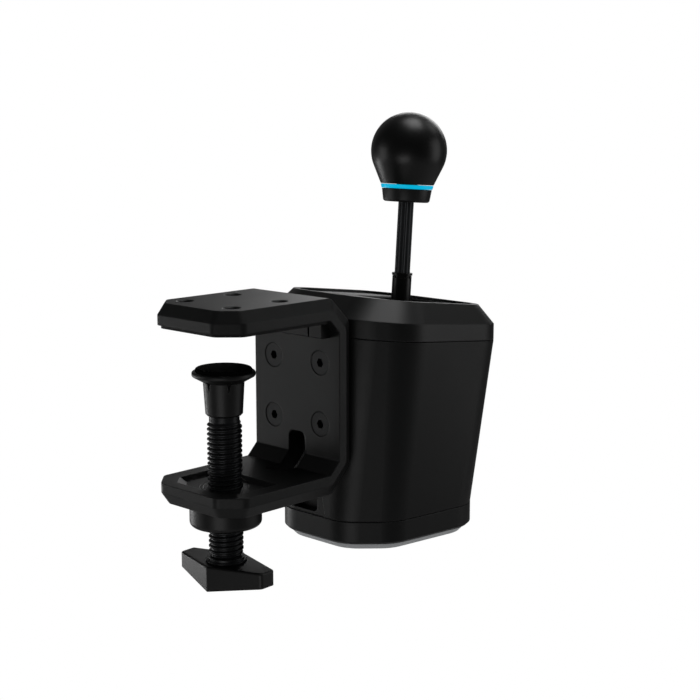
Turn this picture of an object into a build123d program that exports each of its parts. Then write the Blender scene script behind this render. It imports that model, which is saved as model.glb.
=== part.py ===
from build123d import *
import os
from math import acos, atan2, cos, degrees, hypot, pi, radians, sin, sqrt, tan

# Gear shifter for a racing simulator, clamped to a desk edge, in millimetres.
# The origin is the middle of the upper jaw's rubber face on the clamp screw's axis,
# so the desk top is the plane Z = 0. +Y points over the desk, +Z up, and the
# shifter's body hangs off the desk edge at -Y, on the driver's side.

os.makedirs("parts", exist_ok=True)

# Clearances that several pieces share
overrun = 1.0  # how far a cut runs past the face that it starts on
fit = 0.05  # radial play of a running or seated fit
seat_gap = 0.3  # space between pieces that move past each other
seam_gap = 0.5  # dark line between two casing parts

# C bracket
bracket_width = 74.8
tip_cut = 12.8  # 45 degree cut at each tip corner
tip_corner = 6.0  # rounding of the cut's ends in plan
screw_reach = 60.0  # back plate to screw axis
tip_overhang = 29.5  # screw axis to tips
jaw_height = 95.5  # inside, arm to arm
side_face = 6.0  # upright part of the plate's edge
edge_drop = 6.9  # the outer edge's slope, across the plate
edge_inset = 4.2  # the same slope, along the plate
inner_bevel = 7.7
outer_bevel = 12.0  # measured on the side face
bend_corner = 6.0  # rounding of the outer bevel's ends
plate_thickness = side_face + edge_drop
jaw_pad_thickness = 2.0
jaw_pad_inset = 2.0
plate_face_y = -screw_reach
plate_back_y = plate_face_y - plate_thickness
upper_arm_z = jaw_pad_thickness  # underside of the upper arm
upper_arm_top = upper_arm_z + plate_thickness
lower_arm_z = upper_arm_z - jaw_height  # top of the lower arm
lower_arm_bottom = lower_arm_z - plate_thickness

# Holes for bolting a rig plate or accessory onto the upper arm
rig_hole_radius = 4.5
rig_hole_rim = 1.0
rig_pattern_width = 41.2
rig_pattern_length = 37.5
rig_pattern_back = 7.55  # pattern's middle behind the screw axis
rig_pad_clearance = 1.0

# Countersunk screws through the back plate
plate_pattern_width = 41.0
plate_pattern_height = 38.5
plate_pattern_drop = 45.85  # pattern's middle below the desk top
plate_screw_radius = 4.0
plate_head_radius = 7.8
plate_head_sink = 0.3
plate_head_angle = 90.0
plate_key_radius = 2.9  # corner radius of the hexagon socket
plate_key_depth = 4.0

# Cable slot at the foot of the back plate
slot_width = 14.5
slot_top_drop = 72.5  # slot's top below the desk top
slot_reach = 22.0  # along the lower arm, from the back plate
slot_corner = 4.0

# Pocket in the lower arm, round the screw
pocket_half_width = 27.5
pocket_front = 21.5
pocket_back = 17.0
pocket_cut = 9.0
pocket_depth = 3.0

# Edge stop in the upper inner corner
stop_half_width = 29.8
stop_depth = 8.0
stop_height = 10.0
stop_groove_x = 19.0
stop_groove_width = 1.5
stop_groove_depth = 1.2
stop_edge = 0.8

# Clamp screw and its foot
foot_gap = 23.9  # foot's rubber face below the desk top
rubber_radius = 17.0
rubber_thickness = 4.0
rubber_crown = 1.2
foot_lip = 1.9  # rubber's top above the rim's top
rim_radius = 19.0
rim_thickness = 2.8
rim_edge = 1.3
flare_drop = 3.7
neck_top_radius = 12.35
neck_bottom_radius = 11.2
neck_length = 20.2
neck_edge = 1.0
foot_slot_count = 6
foot_slot_turn = 33.0
foot_slot_width = 3.2
foot_slot_length = 5.4
foot_slot_depth = 2.0
thread_radius = 10.5
thread_root = 9.15
thread_pitch = 3.0
thread_turns = 28
shank_length = 2.7
spigot_radius = 6.0
spigot_top_gap = 1.5
foot_cavity_radius = 8.5
foot_cavity_depth = 4.5
circlip_radius = 7.6
circlip_thickness = 1.2
tang_radius = 7.9
tang_length = 8.0
foot_top = -foot_gap
rim_top = foot_top - foot_lip
rubber_seat = foot_top - rubber_thickness
rim_bottom = rim_top - rim_thickness
flare_bottom = rim_bottom - flare_drop
neck_bottom = flare_bottom - neck_length
foot_cavity_bottom = rubber_seat - foot_cavity_depth
shank_top = neck_bottom - seat_gap
thread_top = shank_top - shank_length
thread_bottom = thread_top - thread_turns * thread_pitch

# Nut under the lower arm
nut_radius = 21.8
nut_drop = 13.6
nut_edge = 3.0
nut_sleeve_radius = 15.0
nut_bush_radius = 13.0
nut_bottom = lower_arm_bottom - nut_drop
nut_top = lower_arm_z - pocket_depth

# Turning handle
collar_radius = 12.4
collar_step = 1.2  # upper ring's radius below the lower one's
collar_ring = 1.6
handle_half_length = 34.3
handle_half_width = 16.9
handle_end_half_width = 5.4
handle_middle_height = 15.6
handle_end_height = 9.5
handle_turn = 3.8
handle_corner = 2.2
handle_edge = 1.2
handle_screw_radius = 2.5
handle_screw_head = 4.6
handle_screw_sink = 0.2
collar_top = thread_bottom
handle_top = collar_top - 2 * collar_ring
handle_bottom = handle_top - handle_middle_height

# Body casing: octagons with 45 degree facets at three levels, each with its half width
# at the front shoulders and at the rear ones, and with its facets' size across
spacer_thickness = 0.6
spacer_margin = 7.0  # spacer beyond the plate screws
wall = 3.0
base_corners = (26.0, 26.0)  # corner radii in plan, at the front and at the rear
crown_corners = (34.0, 26.0)
face_corners = (28.0, 20.0)
crown_half_shoulder = 61.2
crown_half_width = 61.2
crown_front_facet = 25.2
crown_rear_facet = 17.9
crown_rear_reach = 48.3  # behind the lever's pivot, like the next two
base_half_shoulder = 50.0
base_half_width = 58.5
base_front_facet = 24.0
base_rear_facet = 25.0
base_rear_reach = 37.1
face_half_shoulder = 52.0
face_half_width = 52.0
face_front_facet = 19.5
face_rear_facet = 13.4
face_front_inset = 15.6
face_rear_reach = 38.3
base_drop = 144.6  # base cap's underside below the desk top
base_height = 14.8
base_floor = 3.0
base_edge = 1.5
foot_plate_thickness = 4.4
foot_plate_inset = 5.0
seam_front_z = -11.6
seam_tilt = 6.0
rim_rise = 11.5  # at the front, from the seam to the facets' foot
rim_tilt = 6.45
deck_rise = 13.8  # at the front, from the facets' foot to the top's plane
deck_tilt = 7.46
bezel_deck = 6.6  # thickness of the bezel's top
deck_rim = 4.0  # width of the raised rim round the recessed deck
deck_recess = 1.8
lip_height = 4.0
lip_wall = 1.6
lip_play = 1.1
body_front_y = plate_back_y - spacer_thickness
base_bottom = -base_drop
base_seam_z = base_bottom + base_height
floor_top = base_bottom + base_floor

# Lever: it leans towards the driver and pivots in a gimbal
lean = 4.24
pivot_y = -150.9
pivot_drop = 83.5  # pivot below the desk top
collet_top = 102.3  # distances along the lever are from the pivot
sleeve_radius = 6.4
sleeve_bottom = 20.0
rod_radius = 5.1
rod_insertion = 45.0
rod_flute_count = 12
rod_flute_radius = 0.75
rod_flute_sink = 0.3
collet_length = 3.5
collet_radius = 6.8
collet_notch_count = 12
collet_notch_width = 1.0
collet_notch_depth = 0.5
collet_notch_height = 1.4
knob_radius = 25.0
knob_centre = 182.7
ring_radius = 17.5
ring_taper = 0.7
ring_height = 3.0
ring_drop = 23.6  # ring's middle below the knob's centre
neck_cap_top_radius = 16.5
neck_cap_bottom_radius = 15.2
neck_cap_height = 8.5
neck_cap_edge = 1.8
insert_radius = 7.0
insert_height = 26.0
stud_radius = 4.0
stud_height = 22.0
rod_entry = 3.0  # fluted part inside the neck
pitch_limit = 11.0
pivot_z = -pivot_drop
knob_neck_bottom = knob_centre - ring_drop - ring_height / 2 - neck_cap_height

# Gate plate, in the plane of the top
gate_half_width = 33.0
gate_front_reach = 37.0  # from the lever
gate_rear_reach = 29.5
gate_corner = 5.0
gate_thickness = 3.0
gate_play = 0.15
gate_opening_half_width = 20.5
gate_opening_reach = 24.5
gate_opening_corner = 8.0
gate_opening_rim = 1.0
gate_screw_inset = 5.5
gate_screw_radius = 1.5
gate_screw_head = 2.75
gate_screw_head_height = 1.6
gate_screw_length = 4.5

# Dust dome under the gate opening
dome_radius = 62.0
dome_wall = 1.5
dome_half_angle = 29.0
dome_boss_radius = 9.0
dome_boss_length = 7.0

# Gimbal yoke, bearings and shafts
yoke_half_width = 28.0
yoke_half_length = 22.0
yoke_wall = 7.0
yoke_half_height = 8.0
yoke_corner = 4.0
journal_radius = 5.0
side_plate_inner = 33.0
side_plate_thickness = 8.0
side_plate_half_length = 18.0
side_plate_rise = 16.0  # above the pivot
side_plate_corner = 6.0
bearing_radius = 9.5
bearing_width = 5.0
bearing_ring = 1.4
bearing_shield_sink = 0.4
journal_tip = 3.0  # journal beyond the side plate
journal_clip_radius = 7.0
clip_gap = 0.4
shaft_radius = 4.0
bush_radius = 6.0
bush_flange_radius = 7.5
bush_flange = 1.0
shaft_overhang = 9.0
shaft_clip_radius = 5.6
shaft_magnet_wall = 1.0
hub_radius = 11.0
hub_boss_radius = 8.0
hub_low = 11.0
hub_high = 12.0
hub_collar_radius = 9.0
hub_collar_top = 42.0
tail_reach = 36.0
tail_half_width = 8.0
sector_radius = 34.0
sector_half_angle = 19.0
sector_notch = 1.6

# Detent, springs and stops
plunger_radius = 4.5
ball_radius = 2.5
plunger_nose = 3.2
spring_drop = 30.0  # pitch springs' axis below the pivot
spring_post_reach = 25.0
spring_post_thickness = 4.0
spring_post_half_width = 6.0
spring_coil_radius = 4.6
spring_wire_radius = 0.7
spring_turns = 7
roll_spring_radius = 6.6
roll_spring_wire = 0.6
roll_spring_turns = 3.5
roll_spring_pitch = 1.7
stop_radius = 4.0
stop_rubber = 6.0
stop_gap = 0.4
stop_place = 18.0  # along Y from the pivot

# Chassis
chassis_floor = 6.0
chassis_play = 1.0
front_plate_thickness = 8.0
front_plate_top_drop = 17.5  # its top below the desk top
front_plate_top_half = 29.3
front_plate_bottom_half = 22.0
front_plate_edge = 7.6  # bevel that clears the casing's rounded corners
chassis_floor_top = floor_top + chassis_floor

# Screws from below
base_screw_radius = 2.5
base_screw_head = 4.5
base_screw_head_height = 2.5
base_screw_half_spacing = 34.0
base_screw_front = 45.0  # from the body's front
base_screw_rear = 97.0
side_screw_radius = 2.0
side_screw_head = 3.5
side_screw_head_height = 2.5
side_screw_half_spacing = 12.0
side_screw_length = 12.0

# Connector bay at the lower front corner
bay_edge_low = 10.8  # slanting edge's X at the seam, on the -X side
bay_edge_high = 6.7  # the same at the bay's top
bay_height = 23.0
bay_margin = 1.6
bay_depth = 8.0
bay_corner = 4.0
bay_back = 2.0
bay_pocket_height = 18.5
bay_pocket_edge = 4.7  # pocket's X on the -X side
bay_reach = 40.0
data_socket_x = 5.0
data_socket_width = 9.0
data_socket_height = 3.4
data_socket_wall = 0.5
jack_x = 20.0
jack_lift = 0.6  # jack's rim above the pocket's lower edge
jack_radius = 4.0
jack_bore = 2.4
jack_nose = 5.5
socket_depth = 5.0

# Circuit boards and sensors
board_half_width = 19.0
board_height = 62.0
board_thickness = 1.6
board_standoff = 3.5
board_standoff_radius = 3.0
board_lift = 32.5  # its lower edge above the chassis floor
board_screw_inset = 4.0
board_screw_radius = 1.5
board_screw_head = 2.8
chip_size = 10.0
chip_height = 1.4
plug_width = 12.0
plug_height = 5.0
magnet_radius = 3.0
magnet_thickness = 2.5
sensor_half_size = 9.0
sensor_gap = 1.2
sensor_chip = 5.0


def ring_points(half_front, half_shoulder, half_width, half_rear, front_y, rear_y):
    """Octagon in plan: front and rear edges, two sides and four 45 degree facets."""
    front_side_y = front_y - (half_shoulder - half_front)
    rear_side_y = rear_y + (half_width - half_rear)
    right = [(half_front, front_y), (half_shoulder, front_side_y),
             (half_width, rear_side_y), (half_rear, rear_y)]
    left = [(-x, y) for x, y in reversed(right)]
    return right + left


def inset(outline, distance):
    """The same octagon with every side moved inwards by one distance."""
    half_front, half_shoulder, half_width, half_rear, front_y, rear_y = outline
    points = ring_points(*outline)
    splay = (half_width - half_shoulder) / (points[1][1] - points[2][1])
    shrink = distance * (sqrt(2) - 1)
    # Each edge as the X at which it, or its line, meets Y = 0
    front_facet = half_front + front_y - distance * sqrt(2)
    rear_facet = half_rear - rear_y - distance * sqrt(2)
    side = half_shoulder + splay * points[1][1] - distance * sqrt(1 + splay**2)
    shoulder = (side - splay * front_facet) / (1 - splay)
    width = (side + splay * rear_facet) / (1 + splay)
    return (half_front - shrink, shoulder, width, half_rear - shrink,
            front_y - distance, rear_y + distance)


def tilted(front_z, tilt):
    """Plane that falls towards the driver, through the body's front edge."""
    slope = radians(tilt)
    return Plane(origin=(0, body_front_y, front_z), x_dir=(1, 0, 0),
                 z_dir=(0, -sin(slope), cos(slope)))


def less(corners, distance):
    """Corner radii of an outline that is drawn in by a distance."""
    return tuple(radius - distance for radius in corners)


def section(plane, outline, corners, tilt=0.0):
    """Rounded octagon whose plan is the outline, drawn on a level or tilted plane."""
    origin_y = body_front_y if tilt else 0
    stretch = cos(radians(tilt))
    points = [(x, (y - origin_y) / stretch) for x, y in ring_points(*outline)]
    with BuildSketch(plane) as sketch:
        with BuildLine():
            Polyline(*points, close=True)
        make_face()
        fillet(sketch.vertices().sort_by(Axis.Y)[4:], corners[0])
        fillet(sketch.vertices().sort_by(Axis.Y)[:4], corners[1])
    return sketch.sketch


def c_points(thickness, bevel):
    """Corners (Y, Z) of the bracket's C at one thickness and outer bevel."""
    back = plate_face_y - thickness
    top = upper_arm_z + thickness
    bottom = lower_arm_z - thickness
    return [
        (tip_overhang, upper_arm_z), (plate_face_y + inner_bevel, upper_arm_z),
        (plate_face_y, upper_arm_z - inner_bevel), (plate_face_y, lower_arm_z + inner_bevel),
        (plate_face_y + inner_bevel, lower_arm_z), (tip_overhang, lower_arm_z),
        (tip_overhang, bottom), (back + bevel, bottom), (back, bottom + bevel),
        (back, top - bevel), (back + bevel, top), (tip_overhang, top),
    ]


def c_section(x, thickness, bevel):
    """The bracket's C at one X, with the ends of its outer bevels rounded."""
    with BuildSketch(Plane.YZ.offset(x)) as outline:
        with BuildLine():
            Polyline(*c_points(thickness, bevel), close=True)
        make_face()
        fillet([corner for corner in outline.vertices() if corner.X < tip_overhang - overrun
                and (corner.Y > upper_arm_z + fit or corner.Y < lower_arm_z - fit
                     or corner.X < plate_face_y - fit)], bend_corner)
    return outline.sketch


def arm_points(margin, back_y):
    """Plan of an arm's tip, every edge drawn in by a margin, back to one Y."""
    half = bracket_width / 2 - margin
    front = tip_overhang - margin
    cut = tip_cut - margin * (2 - sqrt(2))
    return [(half, back_y), (half, front - cut), (half - cut, front),
            (cut - half, front), (-half, front - cut), (-half, back_y)]


def sign_of(value):
    """1 or -1, the sign of a value."""
    return 1 if value > 0 else -1


def spring(start, reach, radius, wire, turns):
    """Open coil along Y from a start point, one unbroken wire."""
    with BuildPart() as coil:
        with BuildLine() as path:
            Helix(pitch=abs(reach) / turns, height=abs(reach), radius=radius,
                  center=start, direction=(0, sign_of(reach), 0))
        with BuildSketch(Plane(origin=path.line @ 0, z_dir=path.line % 0)):
            Circle(wire)
        sweep()
    return coil.part


def tip_plan(height, margin):
    """Plan of the arms at one height, drawn in by a margin, its tip corners rounded."""
    with BuildSketch(Plane.XY.offset(height)) as plan:
        with BuildLine():
            Polyline(*arm_points(margin, plate_back_y - overrun), close=True)
        make_face()
        fillet(plan.vertices().sort_by(Axis.Y)[2:], tip_corner)
    return plan.sketch


# C bracket: full thickness in the middle, sloping to the thin side faces
full_bevel = outer_bevel + edge_drop * (2 - sqrt(2))
half_bracket = bracket_width / 2
upper_slope = upper_arm_top - edge_drop
lower_slope = lower_arm_bottom + edge_drop
with BuildPart() as tips:
    extrude(tip_plan(lower_slope, 0), amount=upper_slope - lower_slope)
    loft(sections=[tip_plan(upper_slope, 0), tip_plan(upper_arm_top, edge_inset)], ruled=True)
    loft(sections=[tip_plan(lower_arm_bottom, edge_inset), tip_plan(lower_slope, 0)], ruled=True)
with BuildPart() as c_bracket:
    extrude(c_section(0, plate_thickness, full_bevel), amount=half_bracket - edge_inset,
            both=True)
    loft(sections=[c_section(half_bracket - edge_inset, plate_thickness, full_bevel),
                   c_section(half_bracket, side_face, outer_bevel)], ruled=True)
    mirror(about=Plane.YZ)
    # Tips: 45 degree cuts with rounded ends, and the sides' slope round both arms
    add(tips.part, mode=Mode.INTERSECT)
    # Rig holes through the upper arm, each with a chamfered rim
    with Locations(Location((0, -rig_pattern_back, upper_arm_top))):
        with GridLocations(rig_pattern_width, rig_pattern_length, 2, 2):
            CounterSinkHole(rig_hole_radius, rig_hole_radius + rig_hole_rim,
                            plate_thickness + overrun, plate_head_angle)
    # Countersunk holes through the back plate
    plate_face = Plane(origin=(0, plate_face_y, -plate_pattern_drop), x_dir=(-1, 0, 0),
                       z_dir=(0, 1, 0))
    with Locations(plate_face):
        with GridLocations(plate_pattern_width, plate_pattern_height, 2, 2):
            CounterSinkHole(plate_screw_radius + fit, plate_head_radius + fit,
                            plate_thickness + overrun, plate_head_angle)
    # Cable slot up the back plate, through the bend and along the lower arm
    slot_top = -slot_top_drop
    with BuildSketch(Plane.XZ.offset(-plate_face_y - inner_bevel)) as slot_front:
        with BuildLine():
            Polyline((-slot_width / 2, lower_arm_bottom - overrun),
                     (slot_width / 2, lower_arm_bottom - overrun),
                     (slot_width / 2, slot_top), (-slot_width / 2, slot_top), close=True)
        make_face()
        fillet(slot_front.vertices().group_by(Axis.Y)[-1], slot_corner)
    extrude(amount=inner_bevel + plate_thickness + overrun, mode=Mode.SUBTRACT)
    with BuildSketch(Plane.XY.offset(lower_arm_z + overrun)) as slot_arm:
        with BuildLine():
            Polyline((-slot_width / 2, plate_face_y), (slot_width / 2, plate_face_y),
                     (slot_width / 2, plate_face_y + slot_reach),
                     (-slot_width / 2, plate_face_y + slot_reach), close=True)
        make_face()
        fillet(slot_arm.vertices().group_by(Axis.Y)[-1], slot_corner)
    extrude(amount=-(plate_thickness + 2 * overrun), mode=Mode.SUBTRACT)
    # Shallow pocket with sloping walls, and the bore for the nut's sleeve
    for drop in (0, pocket_depth):
        with BuildSketch(Plane.XY.offset(lower_arm_z - drop)):
            with BuildLine():
                pocket_side = pocket_half_width - drop
                pocket_tip = pocket_front - drop
                pocket_rear = pocket_back - drop
                Polyline((pocket_side, -pocket_rear), (pocket_side, pocket_tip - pocket_cut),
                         (pocket_side - pocket_cut, pocket_tip),
                         (pocket_cut - pocket_side, pocket_tip),
                         (-pocket_side, pocket_tip - pocket_cut),
                         (-pocket_side, -pocket_rear), close=True)
            make_face()
    loft(ruled=True, mode=Mode.SUBTRACT)
    with Locations((0, 0, lower_arm_z)):
        Hole(nut_sleeve_radius, plate_thickness + overrun)
c_bracket.part.label = "c_bracket"
export_step(c_bracket.part, "parts/c_bracket.step")

# Rubber sheet under the upper arm, open at the rig holes
stop_front_y = plate_face_y + stop_depth
with BuildPart() as jaw_pad:
    with BuildSketch(Plane.XY) as pad_plan:
        with BuildLine():
            Polyline(*arm_points(jaw_pad_inset, stop_front_y + seat_gap), close=True)
        make_face()
        fillet(pad_plan.vertices().sort_by(Axis.Y)[2:], tip_corner)
        with Locations((0, -rig_pattern_back)):
            with GridLocations(rig_pattern_width, rig_pattern_length, 2, 2):
                Circle(rig_hole_radius + rig_pad_clearance, mode=Mode.SUBTRACT)
    extrude(amount=jaw_pad_thickness)
jaw_pad.part.label = "jaw_pad"
export_step(jaw_pad.part, "parts/jaw_pad.step")

# Edge stop: a block in the upper corner, its back cut to the bracket's bevel
with BuildPart() as edge_stop:
    with BuildSketch(Plane.YZ):
        with BuildLine():
            Polyline((stop_front_y, 0), (plate_face_y + inner_bevel - upper_arm_z, 0),
                     (plate_face_y, upper_arm_z - inner_bevel),
                     (plate_face_y, -stop_height), (stop_front_y, -stop_height), close=True)
        make_face()
    extrude(amount=stop_half_width, both=True)
    front_edges = edge_stop.faces().sort_by(Axis.Y)[-1].edges()
    chamfer(front_edges.sort_by(Axis.Z)[0], stop_edge)
    with BuildSketch(Plane.XZ.offset(-stop_front_y)):
        for side in (1, -1):
            with Locations((side * stop_groove_x, -stop_height / 2)):
                Rectangle(stop_groove_width, stop_height + overrun)
    extrude(amount=stop_groove_depth, mode=Mode.SUBTRACT)
edge_stop.part.label = "edge_stop"
export_step(edge_stop.part, "parts/edge_stop.step")

# Thin gasket between the back plate and the casing
spacer_half_width = plate_pattern_width / 2 + spacer_margin
spacer_half_height = plate_pattern_height / 2 + spacer_margin
spacer_plane = Plane(origin=(0, plate_back_y, -plate_pattern_drop), x_dir=(-1, 0, 0),
                     z_dir=(0, 1, 0))
with BuildPart() as mount_spacer:
    with BuildSketch(spacer_plane):
        RectangleRounded(2 * spacer_half_width, 2 * spacer_half_height, spacer_margin)
        with GridLocations(plate_pattern_width, plate_pattern_height, 2, 2):
            Circle(plate_screw_radius + fit, mode=Mode.SUBTRACT)
    extrude(amount=-spacer_thickness)
mount_spacer.part.label = "mount_spacer"
export_step(mount_spacer.part, "parts/mount_spacer.step")

# Countersunk screws: one turned profile, four times
chassis_front_y = body_front_y - wall
chassis_back_y = chassis_front_y - front_plate_thickness
plate_screw_length = plate_face_y - chassis_back_y
head_depth = (plate_head_radius - plate_screw_radius) / tan(radians(plate_head_angle / 2))
with BuildPart() as bracket_screws:
    with BuildSketch(Plane.XZ):
        with BuildLine():
            Polyline((0, -plate_head_sink), (plate_head_radius - plate_head_sink, -plate_head_sink),
                     (plate_screw_radius, -head_depth), (plate_screw_radius, -plate_screw_length),
                     (0, -plate_screw_length), close=True)
        make_face()
    revolve(axis=Axis.Z)
    with BuildSketch(Plane.XY.offset(-plate_head_sink)):
        RegularPolygon(plate_key_radius, 6)
    extrude(amount=-plate_key_depth, mode=Mode.SUBTRACT)
    one_plate_screw = bracket_screws.part
with BuildPart() as bracket_screw_set:
    with Locations(plate_face):
        with GridLocations(plate_pattern_width, plate_pattern_height, 2, 2):
            add(one_plate_screw)
bracket_screw_set.part.label = "bracket_screws"
export_step(bracket_screw_set.part, "parts/bracket_screws.step")

# Nut: flange under the arm, sleeve up to the pocket's floor, steel bush inside
with BuildPart() as screw_nut:
    with BuildSketch(Plane.XZ):
        with BuildLine():
            Polyline((nut_bush_radius, nut_bottom), (nut_radius - nut_edge, nut_bottom))
            RadiusArc((nut_radius - nut_edge, nut_bottom), (nut_radius, nut_bottom + nut_edge),
                      -nut_edge)
            Polyline((nut_radius, nut_bottom + nut_edge), (nut_radius, lower_arm_bottom),
                     (nut_sleeve_radius - fit, lower_arm_bottom), (nut_sleeve_radius - fit, nut_top),
                     (nut_bush_radius, nut_top), (nut_bush_radius, nut_bottom))
        make_face()
    revolve(axis=Axis.Z)
screw_nut.part.label = "screw_nut"
export_step(screw_nut.part, "parts/screw_nut.step")

with BuildPart() as nut_bush:
    with BuildSketch(Plane.XY.offset(nut_bottom)):
        Circle(nut_bush_radius - fit)
        Circle(thread_radius + fit, mode=Mode.SUBTRACT)
    extrude(amount=nut_top - nut_bottom)
nut_bush.part.label = "nut_bush"
export_step(nut_bush.part, "parts/nut_bush.step")

# Pressure foot: flared rim, ribbed cone and neck, hollow for the screw's spigot
with BuildPart() as pressure_foot:
    with BuildSketch(Plane.XZ):
        with BuildLine():
            Polyline((spigot_radius + fit, neck_bottom),
                     (neck_bottom_radius - neck_edge, neck_bottom),
                     (neck_bottom_radius, neck_bottom + neck_edge),
                     (neck_top_radius, flare_bottom), (rim_radius, rim_bottom),
                     (rim_radius, rim_top), (rubber_radius + fit, rim_top),
                     (rubber_radius + fit, rubber_seat), (foot_cavity_radius, rubber_seat),
                     (foot_cavity_radius, foot_cavity_bottom),
                     (spigot_radius + fit, foot_cavity_bottom), close=True)
        make_face()
    revolve(axis=Axis.Z)
    fillet(pressure_foot.edges().filter_by(GeomType.CIRCLE).group_by(SortBy.RADIUS)[-1], rim_edge)
    # V notches that hang from the flare
    for slot in range(foot_slot_count):
        turn = radians(foot_slot_turn + slot * 360 / foot_slot_count)
        out = (cos(turn), sin(turn), 0)
        notch = neck_top_radius - foot_slot_depth
        with BuildSketch(Plane(origin=(notch * out[0], notch * out[1], flare_bottom),
                               x_dir=(-out[1], out[0], 0), z_dir=out)):
            with BuildLine():
                Polyline((-foot_slot_width / 2, foot_slot_depth),
                         (foot_slot_width / 2, foot_slot_depth), (0, -foot_slot_length),
                         close=True)
            make_face()
        extrude(amount=2 * foot_slot_depth, mode=Mode.SUBTRACT)
pressure_foot.part.label = "pressure_foot"
export_step(pressure_foot.part, "parts/pressure_foot.step")

# Rubber face: a flat disc with a soft shoulder
with BuildPart() as foot_rubber:
    with BuildSketch(Plane.XZ):
        with BuildLine():
            Polyline((0, foot_top), (0, rubber_seat), (rubber_radius, rubber_seat),
                     (rubber_radius, foot_top - rubber_crown))
            RadiusArc((rubber_radius, foot_top - rubber_crown),
                      (rubber_radius - rubber_crown, foot_top), -rubber_crown)
            Line((rubber_radius - rubber_crown, foot_top), (0, foot_top))
        make_face()
    revolve(axis=Axis.Z)
foot_rubber.part.label = "foot_rubber"
export_step(foot_rubber.part, "parts/foot_rubber.step")

# Clamp screw: spigot, shank, a thread drawn as rings, and the handle's tang
spigot_top = rubber_seat - spigot_top_gap
clip_seat = foot_cavity_bottom + seat_gap
thread_half = thread_pitch / 2
crest_half = thread_pitch / 8
thread_edge = []
for turn in range(thread_turns):
    crest = thread_top - turn * thread_pitch - thread_half
    thread_edge += [(thread_root, crest + thread_half), (thread_root, crest + thread_half - crest_half),
                    (thread_radius, crest + crest_half), (thread_radius, crest - crest_half),
                    (thread_root, crest - thread_half + crest_half)]
with BuildPart() as clamp_screw:
    with BuildSketch(Plane.XZ):
        with BuildLine():
            Polyline((handle_screw_radius, handle_top - tang_length), (handle_screw_radius, collar_top),
                     (0, collar_top), (0, spigot_top), (spigot_radius, spigot_top),
                     (spigot_radius, shank_top), (thread_root, shank_top), *thread_edge,
                     (thread_root, thread_bottom), (tang_radius, thread_bottom),
                     (tang_radius, handle_top - tang_length), close=True)
        make_face()
    revolve(axis=Axis.Z)
    # Groove for the circlip that keeps the foot on
    with BuildSketch(Plane.XY.offset(clip_seat)):
        Circle(spigot_radius + overrun)
        Circle(spigot_radius - circlip_thickness, mode=Mode.SUBTRACT)
    extrude(amount=circlip_thickness, mode=Mode.SUBTRACT)
clamp_screw.part.label = "clamp_screw"
export_step(clamp_screw.part, "parts/clamp_screw.step")

with BuildPart() as foot_circlip:
    with BuildSketch(Plane.XY.offset(clip_seat + fit)):
        Circle(circlip_radius)
        Circle(spigot_radius - circlip_thickness + fit, mode=Mode.SUBTRACT)
        with Locations((circlip_radius, 0)):
            Rectangle(circlip_radius, spigot_radius, mode=Mode.SUBTRACT)
    extrude(amount=circlip_thickness - 2 * fit)
foot_circlip.part.label = "foot_circlip"
export_step(foot_circlip.part, "parts/foot_circlip.step")

# Double ring between the spindle and the handle
with BuildPart() as handle_collar:
    with BuildSketch(Plane.XZ):
        with BuildLine():
            Polyline((tang_radius + fit, handle_top), (collar_radius, handle_top),
                     (collar_radius, handle_top + collar_ring),
                     (collar_radius - collar_step, handle_top + collar_ring),
                     (collar_radius - collar_step, collar_top - fit),
                     (tang_radius + fit, collar_top - fit), close=True)
        make_face()
    revolve(axis=Axis.Z)
    chamfer(handle_collar.edges().filter_by(GeomType.CIRCLE).group_by(SortBy.RADIUS)[-1],
            collar_ring / 4)
handle_collar.part.label = "handle_collar"
export_step(handle_collar.part, "parts/handle_collar.step")

# Turning handle: a diamond in plan whose underside rises to both ends
handle_plane = Plane(origin=(0, 0, handle_top),
                     x_dir=(cos(radians(handle_turn)), sin(radians(handle_turn)), 0))
handle_side = Plane(origin=(0, 0, handle_top), x_dir=handle_plane.x_dir,
                    z_dir=handle_plane.y_dir * -1)
with BuildPart() as clamp_handle:
    with BuildSketch(handle_plane):
        with BuildLine():
            Polyline((handle_half_length, handle_end_half_width), (0, handle_half_width),
                     (-handle_half_length, handle_end_half_width),
                     (-handle_half_length, -handle_end_half_width), (0, -handle_half_width),
                     (handle_half_length, -handle_end_half_width), close=True)
        make_face()
    extrude(amount=-handle_middle_height)
    for way in (1, -1):
        with BuildSketch(handle_side):
            with BuildLine():
                Polyline((0, -handle_middle_height),
                         (way * handle_half_length, -handle_end_height),
                         (way * (handle_half_length + overrun), -handle_end_height),
                         (way * (handle_half_length + overrun), -handle_middle_height - overrun),
                         (0, -handle_middle_height - overrun), close=True)
            make_face()
        extrude(amount=2 * handle_half_width, both=True, mode=Mode.SUBTRACT)
    fillet(clamp_handle.edges().filter_by(Axis.Z), handle_corner)
    fillet(clamp_handle.faces().sort_by(Axis.Z)[-1].edges(), handle_edge)
    with BuildSketch(Plane.XY.offset(handle_top)):
        Circle(tang_radius + fit)
    extrude(amount=-tang_length - fit, mode=Mode.SUBTRACT)
    with Locations(Plane(origin=(0, 0, handle_bottom), z_dir=(0, 0, -1))):
        CounterSinkHole(handle_screw_radius + fit, handle_screw_head + fit,
                        handle_middle_height, plate_head_angle)
clamp_handle.part.label = "clamp_handle"
export_step(clamp_handle.part, "parts/clamp_handle.step")

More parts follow.
